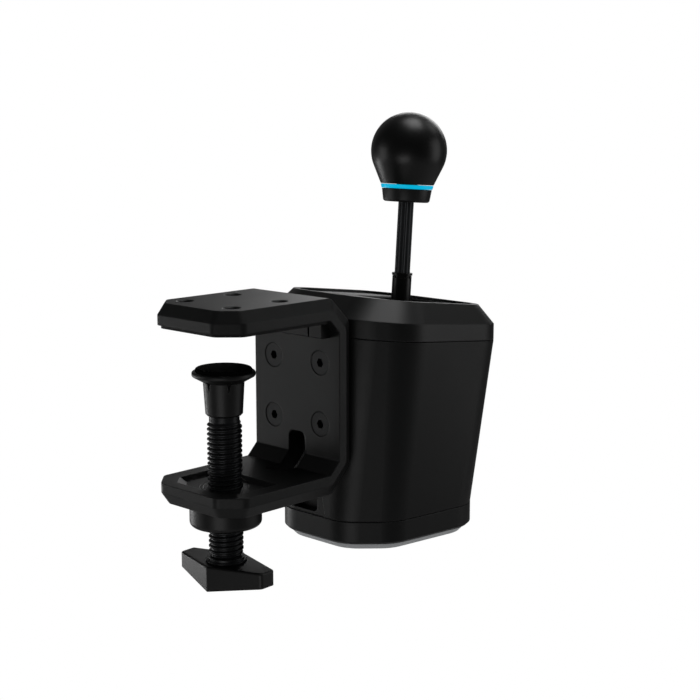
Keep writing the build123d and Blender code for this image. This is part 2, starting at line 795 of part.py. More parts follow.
handle_screw_top = collar_top - collar_ring
with BuildPart() as handle_screw:
    with BuildSketch(Plane.XZ):
        with BuildLine():
            Polyline((0, handle_bottom + handle_screw_sink),
                     (handle_screw_head - handle_screw_sink, handle_bottom + handle_screw_sink),
                     (handle_screw_radius - fit,
                      handle_bottom + handle_screw_head - handle_screw_radius + fit),
                     (handle_screw_radius - fit, handle_screw_top), (0, handle_screw_top), close=True)
        make_face()
    revolve(axis=Axis.Z)
    with BuildSketch(Plane.XY.offset(handle_bottom + handle_screw_sink)):
        RegularPolygon(handle_screw_radius * 2 / 3, 6)
    extrude(amount=handle_screw_radius, mode=Mode.SUBTRACT)
handle_screw.part.label = "handle_screw"
export_step(handle_screw.part, "parts/handle_screw.step")

# Casing outlines in plan
crown_outline = (crown_half_shoulder - crown_front_facet, crown_half_shoulder,
                 crown_half_width, crown_half_width - crown_rear_facet,
                 body_front_y, pivot_y - crown_rear_reach)
base_outline = (base_half_shoulder - base_front_facet, base_half_shoulder,
                base_half_width, base_half_width - base_rear_facet,
                body_front_y, pivot_y - base_rear_reach)
face_outline = (face_half_shoulder - face_front_facet, face_half_shoulder,
                face_half_width, face_half_width - face_rear_facet,
                body_front_y - face_front_inset, pivot_y - face_rear_reach)
rim_front_z = seam_front_z + rim_rise
deck_front_z = rim_front_z + deck_rise
crown_inner = less(crown_corners, wall)
base_inner = less(base_corners, wall)
shell_plane = tilted(seam_front_z - seam_gap / 2, seam_tilt)
bezel_plane = tilted(seam_front_z + seam_gap / 2, seam_tilt)
rim_plane = tilted(rim_front_z, rim_tilt)
deck_plane = tilted(deck_front_z, deck_tilt)

shell_foot = section(Plane.XY.offset(base_seam_z + seam_gap / 2), base_outline, base_corners)
shell_head = section(shell_plane, crown_outline, crown_corners, seam_tilt)
shell_foot_inner = section(Plane.XY.offset(base_seam_z - overrun), inset(base_outline, wall),
                           base_inner)
shell_head_inner = section(tilted(seam_front_z + overrun, seam_tilt), inset(crown_outline, wall),
                           crown_inner, seam_tilt)

# Outline of the connector bay, seen from the front
bay_low = base_seam_z + bay_margin / 2
bay_high = bay_low + bay_height


def bay_sketch(grow):
    """The bay's outline on the casing's front, grown outwards by a clearance."""
    with BuildSketch(Plane.XZ.offset(-body_front_y - overrun)) as outline:
        with BuildLine():
            Polyline((-bay_edge_low - grow, bay_low - grow), (bay_reach, bay_low - grow),
                     (bay_reach, bay_high + grow), (-bay_edge_high - grow, bay_high + grow),
                     close=True)
        make_face()
    return outline.sketch


# Body shell: hollow taper between the base seam and the bezel seam
with BuildPart() as body_shell:
    loft(sections=[shell_foot, shell_head], ruled=True)
    loft(sections=[shell_foot_inner, shell_head_inner], ruled=True, mode=Mode.SUBTRACT)
    with Locations(Plane(origin=(0, body_front_y, -plate_pattern_drop), x_dir=(-1, 0, 0),
                         z_dir=(0, 1, 0))):
        with GridLocations(plate_pattern_width, plate_pattern_height, 2, 2):
            Hole(plate_screw_radius + fit, wall + overrun)
    extrude(bay_sketch(gate_play), amount=bay_depth + bay_back + gate_play + overrun,
            mode=Mode.SUBTRACT)
body_shell.part.label = "body_shell"
export_step(body_shell.part, "parts/body_shell.step")

# Connector bay: a tray let into the casing's lower front corner
bay_floor_y = body_front_y - bay_depth
with BuildPart() as connector_bay:
    loft(sections=[shell_foot, shell_head], ruled=True)
    extrude(bay_sketch(0), amount=bay_depth + bay_back + overrun, mode=Mode.INTERSECT)
    with BuildSketch(Plane.XZ.offset(-bay_floor_y)) as bay_pocket:
        with BuildLine():
            Polyline((-bay_pocket_edge, bay_low + bay_margin),
                     (bay_reach + overrun, bay_low + bay_margin),
                     (bay_reach + overrun, bay_low + bay_margin + bay_pocket_height),
                     (-bay_pocket_edge, bay_low + bay_margin + bay_pocket_height), close=True)
        make_face()
        fillet(bay_pocket.vertices().group_by(Axis.X)[0], bay_corner)
    extrude(amount=-bay_depth - overrun, mode=Mode.SUBTRACT)
    bay_middle_z = bay_low + bay_margin + bay_pocket_height / 2
    jack_z = bay_low + bay_margin + jack_lift + jack_radius
    with BuildSketch(Plane.XZ.offset(-bay_floor_y)):
        with Locations((data_socket_x, bay_middle_z)):
            Rectangle(data_socket_width, data_socket_height)
        with Locations((jack_x, jack_z)):
            Circle(jack_radius)
    extrude(amount=bay_back + overrun, mode=Mode.SUBTRACT)
connector_bay.part.label = "connector_bay"
export_step(connector_bay.part, "parts/connector_bay.step")

with BuildPart() as data_socket:
    with BuildSketch(Plane.XZ.offset(-bay_floor_y)):
        with Locations((data_socket_x, bay_middle_z)):
            RectangleRounded(data_socket_width - 2 * fit, data_socket_height - 2 * fit,
                             data_socket_height / 3)
    extrude(amount=socket_depth)
    with BuildSketch(Plane.XZ.offset(-bay_floor_y)):
        with Locations((data_socket_x, bay_middle_z)):
            RectangleRounded(data_socket_width - 2 * data_socket_wall,
                             data_socket_height - 2 * data_socket_wall, data_socket_height / 4)
            Rectangle(data_socket_width - 4 * data_socket_wall, data_socket_wall,
                      mode=Mode.SUBTRACT)
    extrude(amount=socket_depth - data_socket_wall, mode=Mode.SUBTRACT)
data_socket.part.label = "data_socket"
export_step(data_socket.part, "parts/data_socket.step")

with BuildPart() as accessory_socket:
    with BuildSketch(Plane.XZ.offset(socket_depth - bay_floor_y)):
        with Locations((jack_x, jack_z)):
            Circle(jack_radius - fit)
    extrude(amount=socket_depth + jack_nose, dir=(0, 1, 0))
    nose = accessory_socket.faces().sort_by(Axis.Y)[-1]
    chamfer(nose.edges(), data_socket_wall)
    with Locations(Plane(nose.center(), z_dir=(0, 1, 0))):
        Hole(jack_bore, jack_nose + socket_depth / 2)
accessory_socket.part.label = "accessory_socket"
export_step(accessory_socket.part, "parts/accessory_socket.step")

# Where the lever's axis crosses the top's plane, measured along that plane
slope = tan(radians(deck_tilt))
lean_slope = tan(radians(lean))
deck_z_at_pivot = deck_front_z + (pivot_y - body_front_y) * slope
crossing_rise = (deck_z_at_pivot - pivot_z) / (1 + slope * lean_slope)
crossing_y = pivot_y - crossing_rise * lean_slope
gate_v = (crossing_y - body_front_y) / cos(radians(deck_tilt))
gate_length = gate_front_reach + gate_rear_reach
gate_middle_v = gate_v + (gate_front_reach - gate_rear_reach) / 2
gate_plane = Plane(origin=deck_plane.from_local_coords((0, gate_middle_v, -deck_recess)),
                   x_dir=deck_plane.x_dir, z_dir=deck_plane.z_dir)
opening_v = gate_v - gate_middle_v
screw_spread_x = 2 * (gate_half_width - gate_screw_inset)
screw_spread_v = gate_length - 2 * gate_screw_inset

# Bezel: upright band, sloping facets and a deck with a seat for the gate plate
bezel_foot = section(bezel_plane, crown_outline, crown_corners, seam_tilt)
bezel_rim = section(rim_plane, crown_outline, crown_corners, rim_tilt)
bezel_face = section(deck_plane, face_outline, face_corners, deck_tilt)
bezel_inner_foot = section(tilted(seam_front_z - overrun, seam_tilt), inset(crown_outline, wall),
                           crown_inner, seam_tilt)
bezel_inner_rim = section(tilted(rim_front_z - wall / 2, rim_tilt), inset(crown_outline, wall),
                          crown_inner, rim_tilt)
bezel_inner_face = section(deck_plane.offset(-bezel_deck), inset(face_outline, wall / 2),
                           less(face_corners, wall), deck_tilt)
lip_outer = inset(crown_outline, wall + lip_play)
with BuildPart() as top_bezel:
    loft(sections=[bezel_foot, bezel_rim], ruled=True)
    loft(sections=[bezel_rim, bezel_face], ruled=True)
    loft(sections=[bezel_inner_foot, bezel_inner_rim], ruled=True, mode=Mode.SUBTRACT)
    loft(sections=[bezel_inner_rim, bezel_inner_face], ruled=True, mode=Mode.SUBTRACT)
    # Locating lip inside the shell, tied to the band by a web
    lip_low = tilted(seam_front_z - lip_height, seam_tilt)
    extrude(section(lip_low, lip_outer, crown_inner, seam_tilt), amount=lip_height + lip_wall,
            dir=(0, 0, 1))
    extrude(section(bezel_plane, inset(crown_outline, wall / 2), crown_inner, seam_tilt),
            amount=lip_wall, dir=(0, 0, 1))
    extrude(section(tilted(seam_front_z - lip_height - overrun, seam_tilt),
                    inset(lip_outer, lip_wall), less(crown_inner, lip_wall), seam_tilt),
            amount=lip_height + lip_wall + 2 * overrun, dir=(0, 0, 1), mode=Mode.SUBTRACT)
    extrude(section(deck_plane, inset(face_outline, deck_rim), less(face_corners, deck_rim),
                    deck_tilt), amount=-deck_recess, mode=Mode.SUBTRACT)
    with BuildSketch(gate_plane):
        RectangleRounded(2 * gate_half_width, gate_length, gate_corner)
    extrude(amount=-gate_thickness, mode=Mode.SUBTRACT)
    with BuildSketch(gate_plane):
        with Locations((0, opening_v)):
            RectangleRounded(2 * (gate_opening_half_width + gate_opening_rim),
                             2 * (gate_opening_reach + gate_opening_rim), gate_opening_corner)
    extrude(amount=-bezel_deck - overrun, mode=Mode.SUBTRACT)
    with Locations(gate_plane.offset(-gate_thickness)):
        with GridLocations(screw_spread_x, screw_spread_v, 2, 2):
            Hole(gate_screw_radius, bezel_deck)
top_bezel.part.label = "top_bezel"
export_step(top_bezel.part, "parts/top_bezel.step")

# Gate plate with the lever's opening
with BuildPart() as gate_plate:
    with BuildSketch(gate_plane):
        RectangleRounded(2 * (gate_half_width - gate_play), gate_length - 2 * gate_play,
                         gate_corner - gate_play)
        with Locations((0, opening_v)):
            RectangleRounded(2 * gate_opening_half_width, 2 * gate_opening_reach,
                             gate_opening_corner, mode=Mode.SUBTRACT)
    extrude(amount=-gate_thickness + fit)
    gate_top = gate_plate.faces().sort_by(SortBy.AREA)[-2:].sort_by(Axis.Z)[-1]
    chamfer(gate_top.inner_wires()[0].edges(), gate_opening_rim)
    with Locations(gate_plane):
        with GridLocations(screw_spread_x, screw_spread_v, 2, 2):
            CounterBoreHole(gate_screw_radius, gate_screw_head + fit, gate_screw_head_height,
                            gate_thickness + overrun)
gate_plate.part.label = "gate_plate"
export_step(gate_plate.part, "parts/gate_plate.step")

with BuildPart() as gate_screws:
    with BuildSketch(gate_plane.offset(-gate_screw_head_height)):
        with GridLocations(screw_spread_x, screw_spread_v, 2, 2):
            Circle(gate_screw_head)
    extrude(amount=gate_screw_head_height)
    chamfer(gate_screws.edges().filter_by(GeomType.CIRCLE).group_by(Axis.Z)[-1]
            + gate_screws.edges().filter_by(GeomType.CIRCLE).group_by(Axis.Z)[-2],
            gate_screw_head_height / 6)
    with BuildSketch(gate_plane.offset(-gate_screw_head_height)):
        with GridLocations(screw_spread_x, screw_spread_v, 2, 2):
            Circle(gate_screw_radius - fit)
    extrude(amount=-(gate_screw_length - gate_screw_head_height))
    with BuildSketch(gate_plane):
        with GridLocations(screw_spread_x, screw_spread_v, 2, 2):
            RegularPolygon(gate_screw_radius * 2 / 3, 6)
    extrude(amount=-gate_screw_head_height / 2, mode=Mode.SUBTRACT)
gate_screws.part.label = "gate_screws"
export_step(gate_screws.part, "parts/gate_screws.step")

# Base cap: a shallow tray with a lip that locates in the shell
base_screw_y = (body_front_y - base_screw_front, body_front_y - base_screw_rear)
base_screw_middle = sum(base_screw_y) / 2
base_screw_spread = base_screw_y[0] - base_screw_y[1]
base_lip = inset(base_outline, wall + lip_play)
with BuildPart() as base_cap:
    extrude(section(Plane.XY.offset(base_bottom), base_outline, base_corners),
            amount=base_height - seam_gap / 2)
    chamfer(base_cap.faces().sort_by(Axis.Z)[0].edges(), base_edge)
    extrude(section(Plane.XY.offset(base_seam_z - seam_gap), base_lip, base_inner),
            amount=lip_height)
    extrude(section(Plane.XY.offset(floor_top), inset(base_lip, lip_wall),
                    less(base_inner, lip_wall)),
            amount=base_height + lip_height, mode=Mode.SUBTRACT)
    # Room for the connector bay in the lip
    extrude(bay_sketch(gate_play), amount=bay_depth + bay_back + gate_play + overrun,
            mode=Mode.SUBTRACT)
    # Notch for the chassis' front plate
    with Locations((0, chassis_front_y, floor_top)):
        Box(2 * (front_plate_bottom_half + wall), front_plate_thickness,
            base_height + lip_height, align=(Align.CENTER, Align.MAX, Align.MIN),
            mode=Mode.SUBTRACT)
    with Locations((0, base_screw_middle, floor_top)):
        with GridLocations(2 * base_screw_half_spacing, base_screw_spread, 2, 2):
            Hole(base_screw_radius + fit, base_floor + overrun)
base_cap.part.label = "base_cap"
export_step(base_cap.part, "parts/base_cap.step")

# Light plate under the base, the part's own foot rim
foot_plate_outline = inset(base_outline, foot_plate_inset)
foot_plate_bottom = base_bottom - foot_plate_thickness
with BuildPart() as foot_plate:
    extrude(section(Plane.XY.offset(foot_plate_bottom), foot_plate_outline, base_inner),
            amount=foot_plate_thickness)
    chamfer(foot_plate.faces().sort_by(Axis.Z)[0].edges(), foot_plate_thickness / 3)
    with Locations(Plane(origin=(0, base_screw_middle, foot_plate_bottom), z_dir=(0, 0, -1))):
        with GridLocations(2 * base_screw_half_spacing, base_screw_spread, 2, 2):
            CounterBoreHole(base_screw_radius + fit, base_screw_head + fit,
                            base_screw_head_height, foot_plate_thickness + overrun)
foot_plate.part.label = "foot_plate"
export_step(foot_plate.part, "parts/foot_plate.step")

base_screw_length = chassis_floor_top - foot_plate_bottom - base_floor
with BuildPart() as base_screws:
    with Locations(Plane(origin=(0, base_screw_middle, foot_plate_bottom + base_screw_head_height),
                         z_dir=(0, 0, -1))):
        with GridLocations(2 * base_screw_half_spacing, base_screw_spread, 2, 2):
            Cylinder(base_screw_head, base_screw_head_height - fit,
                     align=(Align.CENTER, Align.CENTER, Align.MIN))
            Cylinder(base_screw_radius, base_screw_length - base_screw_head_height,
                     align=(Align.CENTER, Align.CENTER, Align.MAX))
    with BuildSketch(Plane.XY.offset(foot_plate_bottom + fit)):
        with Locations((0, base_screw_middle)):
            with GridLocations(2 * base_screw_half_spacing, base_screw_spread, 2, 2):
                RegularPolygon(base_screw_radius * 2 / 3, 6)
    extrude(amount=base_screw_head_height / 2, mode=Mode.SUBTRACT)
base_screws.part.label = "base_screws"
export_step(base_screws.part, "parts/base_screws.step")

# Chassis: floor, tapering front plate, spring posts, stop posts and board standoffs
front_plate_top = -front_plate_top_drop
spring_z = pivot_z - spring_drop
tail_x = yoke_half_width - yoke_wall / 2
board_low = chassis_floor_top + board_lift
board_front_y = chassis_back_y - board_standoff
board_middle_z = board_low + board_height / 2
board_screw_x = 2 * (board_half_width - board_screw_inset)
board_screw_z = board_height - 2 * board_screw_inset
floor_inset = wall + lip_play + lip_wall + chassis_play


def stop_top(way):
    """Height of a stop's face: just under the yoke's lower edge at the pitch limit."""
    swing = radians(pitch_limit - way * lean)
    return pivot_z - (stop_place + stop_radius) * sin(swing) - yoke_half_height - stop_gap


def front_plate_sketch(depth, margin):
    """The chassis' front plate at one depth, with its sides drawn in by a margin."""
    low = chassis_floor_top - chassis_floor / 2
    with BuildSketch(Plane.XZ.offset(fit - chassis_front_y + depth)) as outline:
        with BuildLine():
            Polyline((front_plate_bottom_half - margin, low),
                     (front_plate_top_half - margin, front_plate_top),
                     (margin - front_plate_top_half, front_plate_top),
                     (margin - front_plate_bottom_half, low), close=True)
        make_face()
    return outline.sketch


standoff_plane = Plane(origin=(0, chassis_back_y, board_middle_z), x_dir=(-1, 0, 0),
                       z_dir=(0, -1, 0))
with BuildPart() as chassis:
    extrude(section(Plane.XY.offset(floor_top), inset(base_outline, floor_inset),
                    less(base_inner, lip_wall)), amount=chassis_floor)
    loft(sections=[front_plate_sketch(0, front_plate_edge),
                   front_plate_sketch(front_plate_edge, 0)], ruled=True)
    extrude(front_plate_sketch(front_plate_edge, 0),
            amount=front_plate_thickness - front_plate_edge - fit)
    # Room for the connector bay
    extrude(bay_sketch(bay_margin), amount=bay_depth + bay_back + bay_margin + overrun,
            mode=Mode.SUBTRACT)
    with Locations(plate_face):
        with GridLocations(plate_pattern_width, plate_pattern_height, 2, 2):
            Hole(plate_screw_radius + fit, plate_screw_length + overrun)
    # Board standoffs
    with Locations(standoff_plane):
        with GridLocations(board_screw_x, board_screw_z, 2, 2):
            Cylinder(board_standoff_radius, board_standoff,
                     align=(Align.CENTER, Align.CENTER, Align.MIN))
            Hole(board_screw_radius + fit, front_plate_thickness / 2)
    # Posts that the pitch springs push on
    for way in (1, -1):
        with Locations((tail_x, pivot_y + way * (spring_post_reach + spring_post_thickness / 2),
                        chassis_floor_top)):
            Box(2 * spring_post_half_width, spring_post_thickness,
                spring_z + spring_post_half_width - chassis_floor_top,
                align=(Align.CENTER, Align.CENTER, Align.MIN))
        with Locations((0, pivot_y + way * stop_place, chassis_floor_top)):
            Cylinder(stop_radius, stop_top(way) - stop_rubber - chassis_floor_top,
                     align=(Align.CENTER, Align.CENTER, Align.MIN))
    with Locations((0, base_screw_middle, chassis_floor_top)):
        with GridLocations(2 * base_screw_half_spacing, base_screw_spread, 2, 2):
            Hole(base_screw_radius + fit, chassis_floor + overrun)
    side_plate_x = side_plate_inner + side_plate_thickness / 2
    with Locations(Plane(origin=(0, pivot_y, floor_top), z_dir=(0, 0, -1))):
        with GridLocations(2 * side_plate_x, 2 * side_screw_half_spacing, 2, 2):
            CounterBoreHole(side_screw_radius + fit, side_screw_head + fit,
                            side_screw_head_height, chassis_floor + overrun)
chassis.part.label = "chassis"
export_step(chassis.part, "parts/chassis.step")

# Side plates that carry the bearings
for side, name in ((1, "side_plate_left"), (-1, "side_plate_right")):
    plate_start = Plane(origin=(side * side_plate_inner, pivot_y, pivot_z), x_dir=(0, 1, 0),
                        z_dir=(1, 0, 0))
    plate_foot = chassis_floor_top - pivot_z
    with BuildPart() as side_plate:
        with BuildSketch(plate_start) as plate_shape:
            with BuildLine():
                Polyline((side_plate_half_length, plate_foot), (side_plate_half_length, side_plate_rise),
                         (-side_plate_half_length, side_plate_rise),
                         (-side_plate_half_length, plate_foot), close=True)
            make_face()
            fillet(plate_shape.vertices().group_by(Axis.Y)[-1], side_plate_corner)
            Circle(bearing_radius + fit, mode=Mode.SUBTRACT)
        extrude(amount=side * side_plate_thickness)
        with Locations(Plane(origin=(side * side_plate_x, pivot_y, chassis_floor_top),
                             z_dir=(0, 0, -1))):
            with GridLocations(0, 2 * side_screw_half_spacing, 1, 2):
                Hole(side_screw_radius + fit, side_screw_length)
    side_plate.part.label = name
    export_step(side_plate.part, f"parts/{name}.step")

with BuildPart() as side_plate_screws:
    with Locations(Plane(origin=(0, pivot_y, floor_top), z_dir=(0, 0, -1))):
        with GridLocations(2 * side_plate_x, 2 * side_screw_half_spacing, 2, 2):
            with Locations((0, 0, -side_screw_head_height)):
                Cylinder(side_screw_head, side_screw_head_height - fit,
                         align=(Align.CENTER, Align.CENTER, Align.MIN))
                Cylinder(side_screw_radius, side_screw_length,
                         align=(Align.CENTER, Align.CENTER, Align.MAX))
side_plate_screws.part.label = "side_plate_screws"
export_step(side_plate_screws.part, "parts/side_plate_screws.step")

# Sealed ball bearings: two rings with a shield sunk between them on both faces
for side, name in ((1, "bearing_left"), (-1, "bearing_right")):
    bearing_plane = Plane(origin=(side * side_plate_x, pivot_y, pivot_z), x_dir=(0, 1, 0),
                          z_dir=(1, 0, 0))
    with BuildPart() as bearing:
        with BuildSketch(bearing_plane):
            Circle(bearing_radius)
            Circle(journal_radius + fit, mode=Mode.SUBTRACT)
        extrude(amount=bearing_width / 2, both=True)
        for face in (1, -1):
            with BuildSketch(bearing_plane.offset(face * bearing_width / 2)):
                Circle(bearing_radius - bearing_ring)
                Circle(journal_radius + bearing_ring, mode=Mode.SUBTRACT)
            extrude(amount=-face * bearing_shield_sink, mode=Mode.SUBTRACT)
    bearing.part.label = name
    export_step(bearing.part, f"parts/{name}.step")

# Planes of the lever: across it at a distance from the pivot, and along its axis
lean_angle = radians(lean)
lever_dir = Vector(0, -sin(lean_angle), cos(lean_angle))
cross_dir = Vector(0, cos(lean_angle), sin(lean_angle))
pivot = Vector(0, pivot_y, pivot_z)
lever_axis = Axis(pivot, lever_dir)
lever_section = Plane(origin=pivot, x_dir=(1, 0, 0), z_dir=cross_dir * -1)


def across(distance):
    """Plane square to the lever, at a distance from the pivot."""
    return Plane(origin=pivot + lever_dir * distance, x_dir=(1, 0, 0), z_dir=lever_dir)


def along_cross(distance):
    """Plane square to the cross shaft, at a distance in front of the pivot."""
    return Plane(origin=pivot + cross_dir * distance, x_dir=(-1, 0, 0), z_dir=cross_dir)


# Yoke: a frame with two journals, a tail for the springs and a notched sector
sector_x = -tail_x
journal_end = side_plate_inner + side_plate_thickness + journal_tip
magnet_seat = journal_end - magnet_thickness
with BuildPart() as gimbal_yoke:
    with BuildSketch(across(0)):
        RectangleRounded(2 * yoke_half_width, 2 * yoke_half_length, yoke_corner)
        Rectangle(2 * (yoke_half_width - yoke_wall), 2 * (yoke_half_length - yoke_wall),
                  mode=Mode.SUBTRACT)
    extrude(amount=yoke_half_height, both=True)
    for side in (1, -1):
        with BuildSketch(Plane(origin=(side * (yoke_half_width - yoke_wall / 2), pivot_y, pivot_z),
                               x_dir=(0, 1, 0), z_dir=(side, 0, 0))):
            Circle(journal_radius)
        extrude(amount=journal_end - yoke_half_width + yoke_wall / 2)
    # Spring tail, upright while the lever leans
    with BuildSketch(Plane(origin=(tail_x, pivot_y, pivot_z), x_dir=(0, 1, 0), z_dir=(1, 0, 0))):
        with BuildLine():
            Polyline((-tail_half_width, 0), (-tail_half_width, -tail_reach),
                     (tail_half_width, -tail_reach), (tail_half_width, 0), close=True)
        make_face()
    extrude(amount=yoke_wall / 2, both=True)
    # Notched sector on the other side
    with BuildSketch(Plane(origin=(sector_x, pivot_y, pivot_z), x_dir=(0, 1, 0),
                           z_dir=(1, 0, 0))):
        with BuildLine():
            sector_side = sector_radius * sin(radians(sector_half_angle))
            sector_low = -sector_radius * cos(radians(sector_half_angle))
            Line((0, 0), (sector_side, sector_low))
            ThreePointArc((sector_side, sector_low), (0, -sector_radius), (-sector_side, sector_low))
            Line((-sector_side, sector_low), (0, 0))
        make_face()
        for notch in (-pitch_limit, 0, pitch_limit):
            turned = radians(notch - 90)
            with Locations((sector_radius * cos(turned), sector_radius * sin(turned))):
                Rectangle(2 * sector_notch, 2 * sector_notch, rotation=notch + 45,
                          mode=Mode.SUBTRACT)
    extrude(amount=yoke_wall / 2, both=True)
    # Seats for the cross bushes and the pitch magnet
    with BuildSketch(along_cross(0)):
        Circle(bush_radius + fit)
    extrude(amount=yoke_half_length + overrun, both=True, mode=Mode.SUBTRACT)
    with BuildSketch(Plane(origin=(magnet_seat, pivot_y, pivot_z), x_dir=(0, 1, 0),
                           z_dir=(1, 0, 0))):
        Circle(magnet_radius)
    extrude(amount=magnet_thickness + overrun, mode=Mode.SUBTRACT)
gimbal_yoke.part.label = "gimbal_yoke"
export_step(gimbal_yoke.part, "parts/gimbal_yoke.step")

# Retaining rings on the journals, outside the side plates
with BuildPart() as journal_circlips:
    for side in (1, -1):
        clip_x = side * (side_plate_inner + side_plate_thickness + clip_gap)
        with BuildSketch(Plane(origin=(clip_x, pivot_y, pivot_z), x_dir=(0, 1, 0),
                               z_dir=(side, 0, 0))):
            Circle(journal_clip_radius)
            Circle(journal_radius, mode=Mode.SUBTRACT)
        extrude(amount=circlip_thickness)
journal_circlips.part.label = "journal_circlips"
export_step(journal_circlips.part, "parts/journal_circlips.step")

with BuildPart() as pitch_magnet:
    with BuildSketch(Plane(origin=(magnet_seat, pivot_y, pivot_z), x_dir=(0, 1, 0),
                           z_dir=(1, 0, 0))):
        Circle(magnet_radius - fit)
    extrude(amount=magnet_thickness)
pitch_magnet.part.label = "pitch_magnet"
export_step(pitch_magnet.part, "parts/pitch_magnet.step")

# Flanged bushes in the yoke's front and rear walls
yoke_inner_length = yoke_half_length - yoke_wall
with BuildPart() as cross_bushes:
    for way in (1, -1):
        with BuildSketch(along_cross(way * yoke_inner_length)):
            Circle(bush_radius)
            Circle(shaft_radius + fit, mode=Mode.SUBTRACT)
        extrude(amount=way * yoke_wall)
        with BuildSketch(along_cross(way * yoke_inner_length)):
            Circle(bush_flange_radius)
            Circle(shaft_radius + fit, mode=Mode.SUBTRACT)
        extrude(amount=-way * bush_flange)
cross_bushes.part.label = "cross_bushes"
export_step(cross_bushes.part, "parts/cross_bushes.step")

# Cross shaft through the yoke, with its rings and the roll magnet in its front end
shaft_reach = yoke_half_length + shaft_overhang
roll_magnet_radius = shaft_radius - shaft_magnet_wall
with BuildPart() as cross_shaft:
    with BuildSketch(along_cross(-shaft_reach)):
        Circle(shaft_radius)
    extrude(amount=2 * shaft_reach)
    with BuildSketch(along_cross(shaft_reach - magnet_thickness)):
        Circle(roll_magnet_radius)
    extrude(amount=magnet_thickness + overrun, mode=Mode.SUBTRACT)
cross_shaft.part.label = "cross_shaft"
export_step(cross_shaft.part, "parts/cross_shaft.step")

with BuildPart() as roll_magnet:
    with BuildSketch(along_cross(shaft_reach - magnet_thickness)):
        Circle(roll_magnet_radius - fit)
    extrude(amount=magnet_thickness)
roll_magnet.part.label = "roll_magnet"
export_step(roll_magnet.part, "parts/roll_magnet.step")

with BuildPart() as shaft_circlips:
    for way in (1, -1):
        with BuildSketch(along_cross(way * (yoke_half_length + clip_gap))):
            Circle(shaft_clip_radius)
            Circle(shaft_radius, mode=Mode.SUBTRACT)
        extrude(amount=way * circlip_thickness)
shaft_circlips.part.label = "shaft_circlips"
export_step(shaft_circlips.part, "parts/shaft_circlips.step")

# Hub that turns on the cross shaft and holds the lever's tube
hub_half_length = yoke_inner_length - bush_flange - seat_gap
with BuildPart() as lever_hub:
    with BuildSketch(lever_section):
        with BuildLine():
            Polyline((0, -hub_low), (hub_radius, -hub_low), (hub_radius, hub_high),
                     (hub_collar_radius, hub_high + hub_radius - hub_collar_radius),
                     (hub_collar_radius, hub_collar_top), (sleeve_radius + fit, hub_collar_top),
                     (sleeve_radius + fit, sleeve_bottom), (0, sleeve_bottom), close=True)
        make_face()
    revolve(axis=lever_axis)
    with BuildSketch(along_cross(0)):
        Circle(hub_boss_radius)
    extrude(amount=hub_half_length, both=True)
    with BuildSketch(along_cross(0)):
        Circle(shaft_radius)
    extrude(amount=hub_half_length + overrun, both=True, mode=Mode.SUBTRACT)
lever_hub.part.label = "lever_hub"
export_step(lever_hub.part, "parts/lever_hub.step")

# Tube that stands out of the top, with a stepped mouth for the collet
sleeve_top = collet_top - collet_length
with BuildPart() as lever_sleeve:
    with BuildSketch(across(sleeve_bottom)):
        Circle(sleeve_radius)
        Circle(rod_radius + fit, mode=Mode.SUBTRACT)
    extrude(amount=sleeve_top - sleeve_bottom)
lever_sleeve.part.label = "lever_sleeve"
export_step(lever_sleeve.part, "parts/lever_sleeve.step")

# Collet that grips the rod: a lipped ring with a castellated foot
with BuildPart() as height_collet:
    with BuildSketch(lever_section):
        with BuildLine():
            collet_waist = sleeve_radius - collet_notch_depth
            Polyline((rod_radius + fit, sleeve_top), (sleeve_radius, sleeve_top),
                     (sleeve_radius, sleeve_top + collet_notch_height),
                     (collet_waist, sleeve_top + collet_notch_height),
                     (collet_waist, sleeve_top + collet_notch_height + collet_notch_depth),
                     (collet_radius, sleeve_top + collet_notch_height + collet_notch_depth),
                     (collet_radius, collet_top), (rod_radius + fit, collet_top), close=True)
        make_face()
    revolve(axis=lever_axis)
    with Locations(across(sleeve_top + collet_notch_height / 2)):
        with PolarLocations(sleeve_radius, collet_notch_count):
            Box(2 * collet_notch_depth, collet_notch_width, collet_notch_height,
                mode=Mode.SUBTRACT)
height_collet.part.label = "height_collet"
export_step(height_collet.part, "parts/height_collet.step")

# Dust dome: a cap centred on the pivot, carried by the tube
dome_inner = dome_radius - dome_wall
hole = sleeve_radius + fit
cap_angle = radians(dome_half_angle)
middle_angle = (cap_angle + atan2(hole, dome_radius)) / 2
boss_top = sqrt(dome_inner ** 2 - dome_boss_radius ** 2)
with BuildPart() as dust_dome:
    with BuildSketch(lever_section):
        with BuildLine():
            outer_start = (hole, sqrt(dome_radius ** 2 - hole ** 2))
            outer_end = (dome_radius * sin(cap_angle), dome_radius * cos(cap_angle))
            inner_start = (hole, sqrt(dome_inner ** 2 - hole ** 2))
            inner_end = (dome_inner * sin(cap_angle), dome_inner * cos(cap_angle))
            ThreePointArc(outer_start, (dome_radius * sin(middle_angle),
                                        dome_radius * cos(middle_angle)), outer_end)
            Line(outer_end, inner_end)
            ThreePointArc(inner_end, (dome_inner * sin(middle_angle),
                                      dome_inner * cos(middle_angle)), inner_start)
            Line(inner_start, outer_start)
        make_face()
    revolve(axis=lever_axis)
    with BuildSketch(across(boss_top - dome_boss_length)):
        Circle(dome_boss_radius)
        Circle(hole, mode=Mode.SUBTRACT)
    extrude(amount=dome_boss_length + dome_wall / 2)
dust_dome.part.label = "dust_dome"
export_step(dust_dome.part, "parts/dust_dome.step")

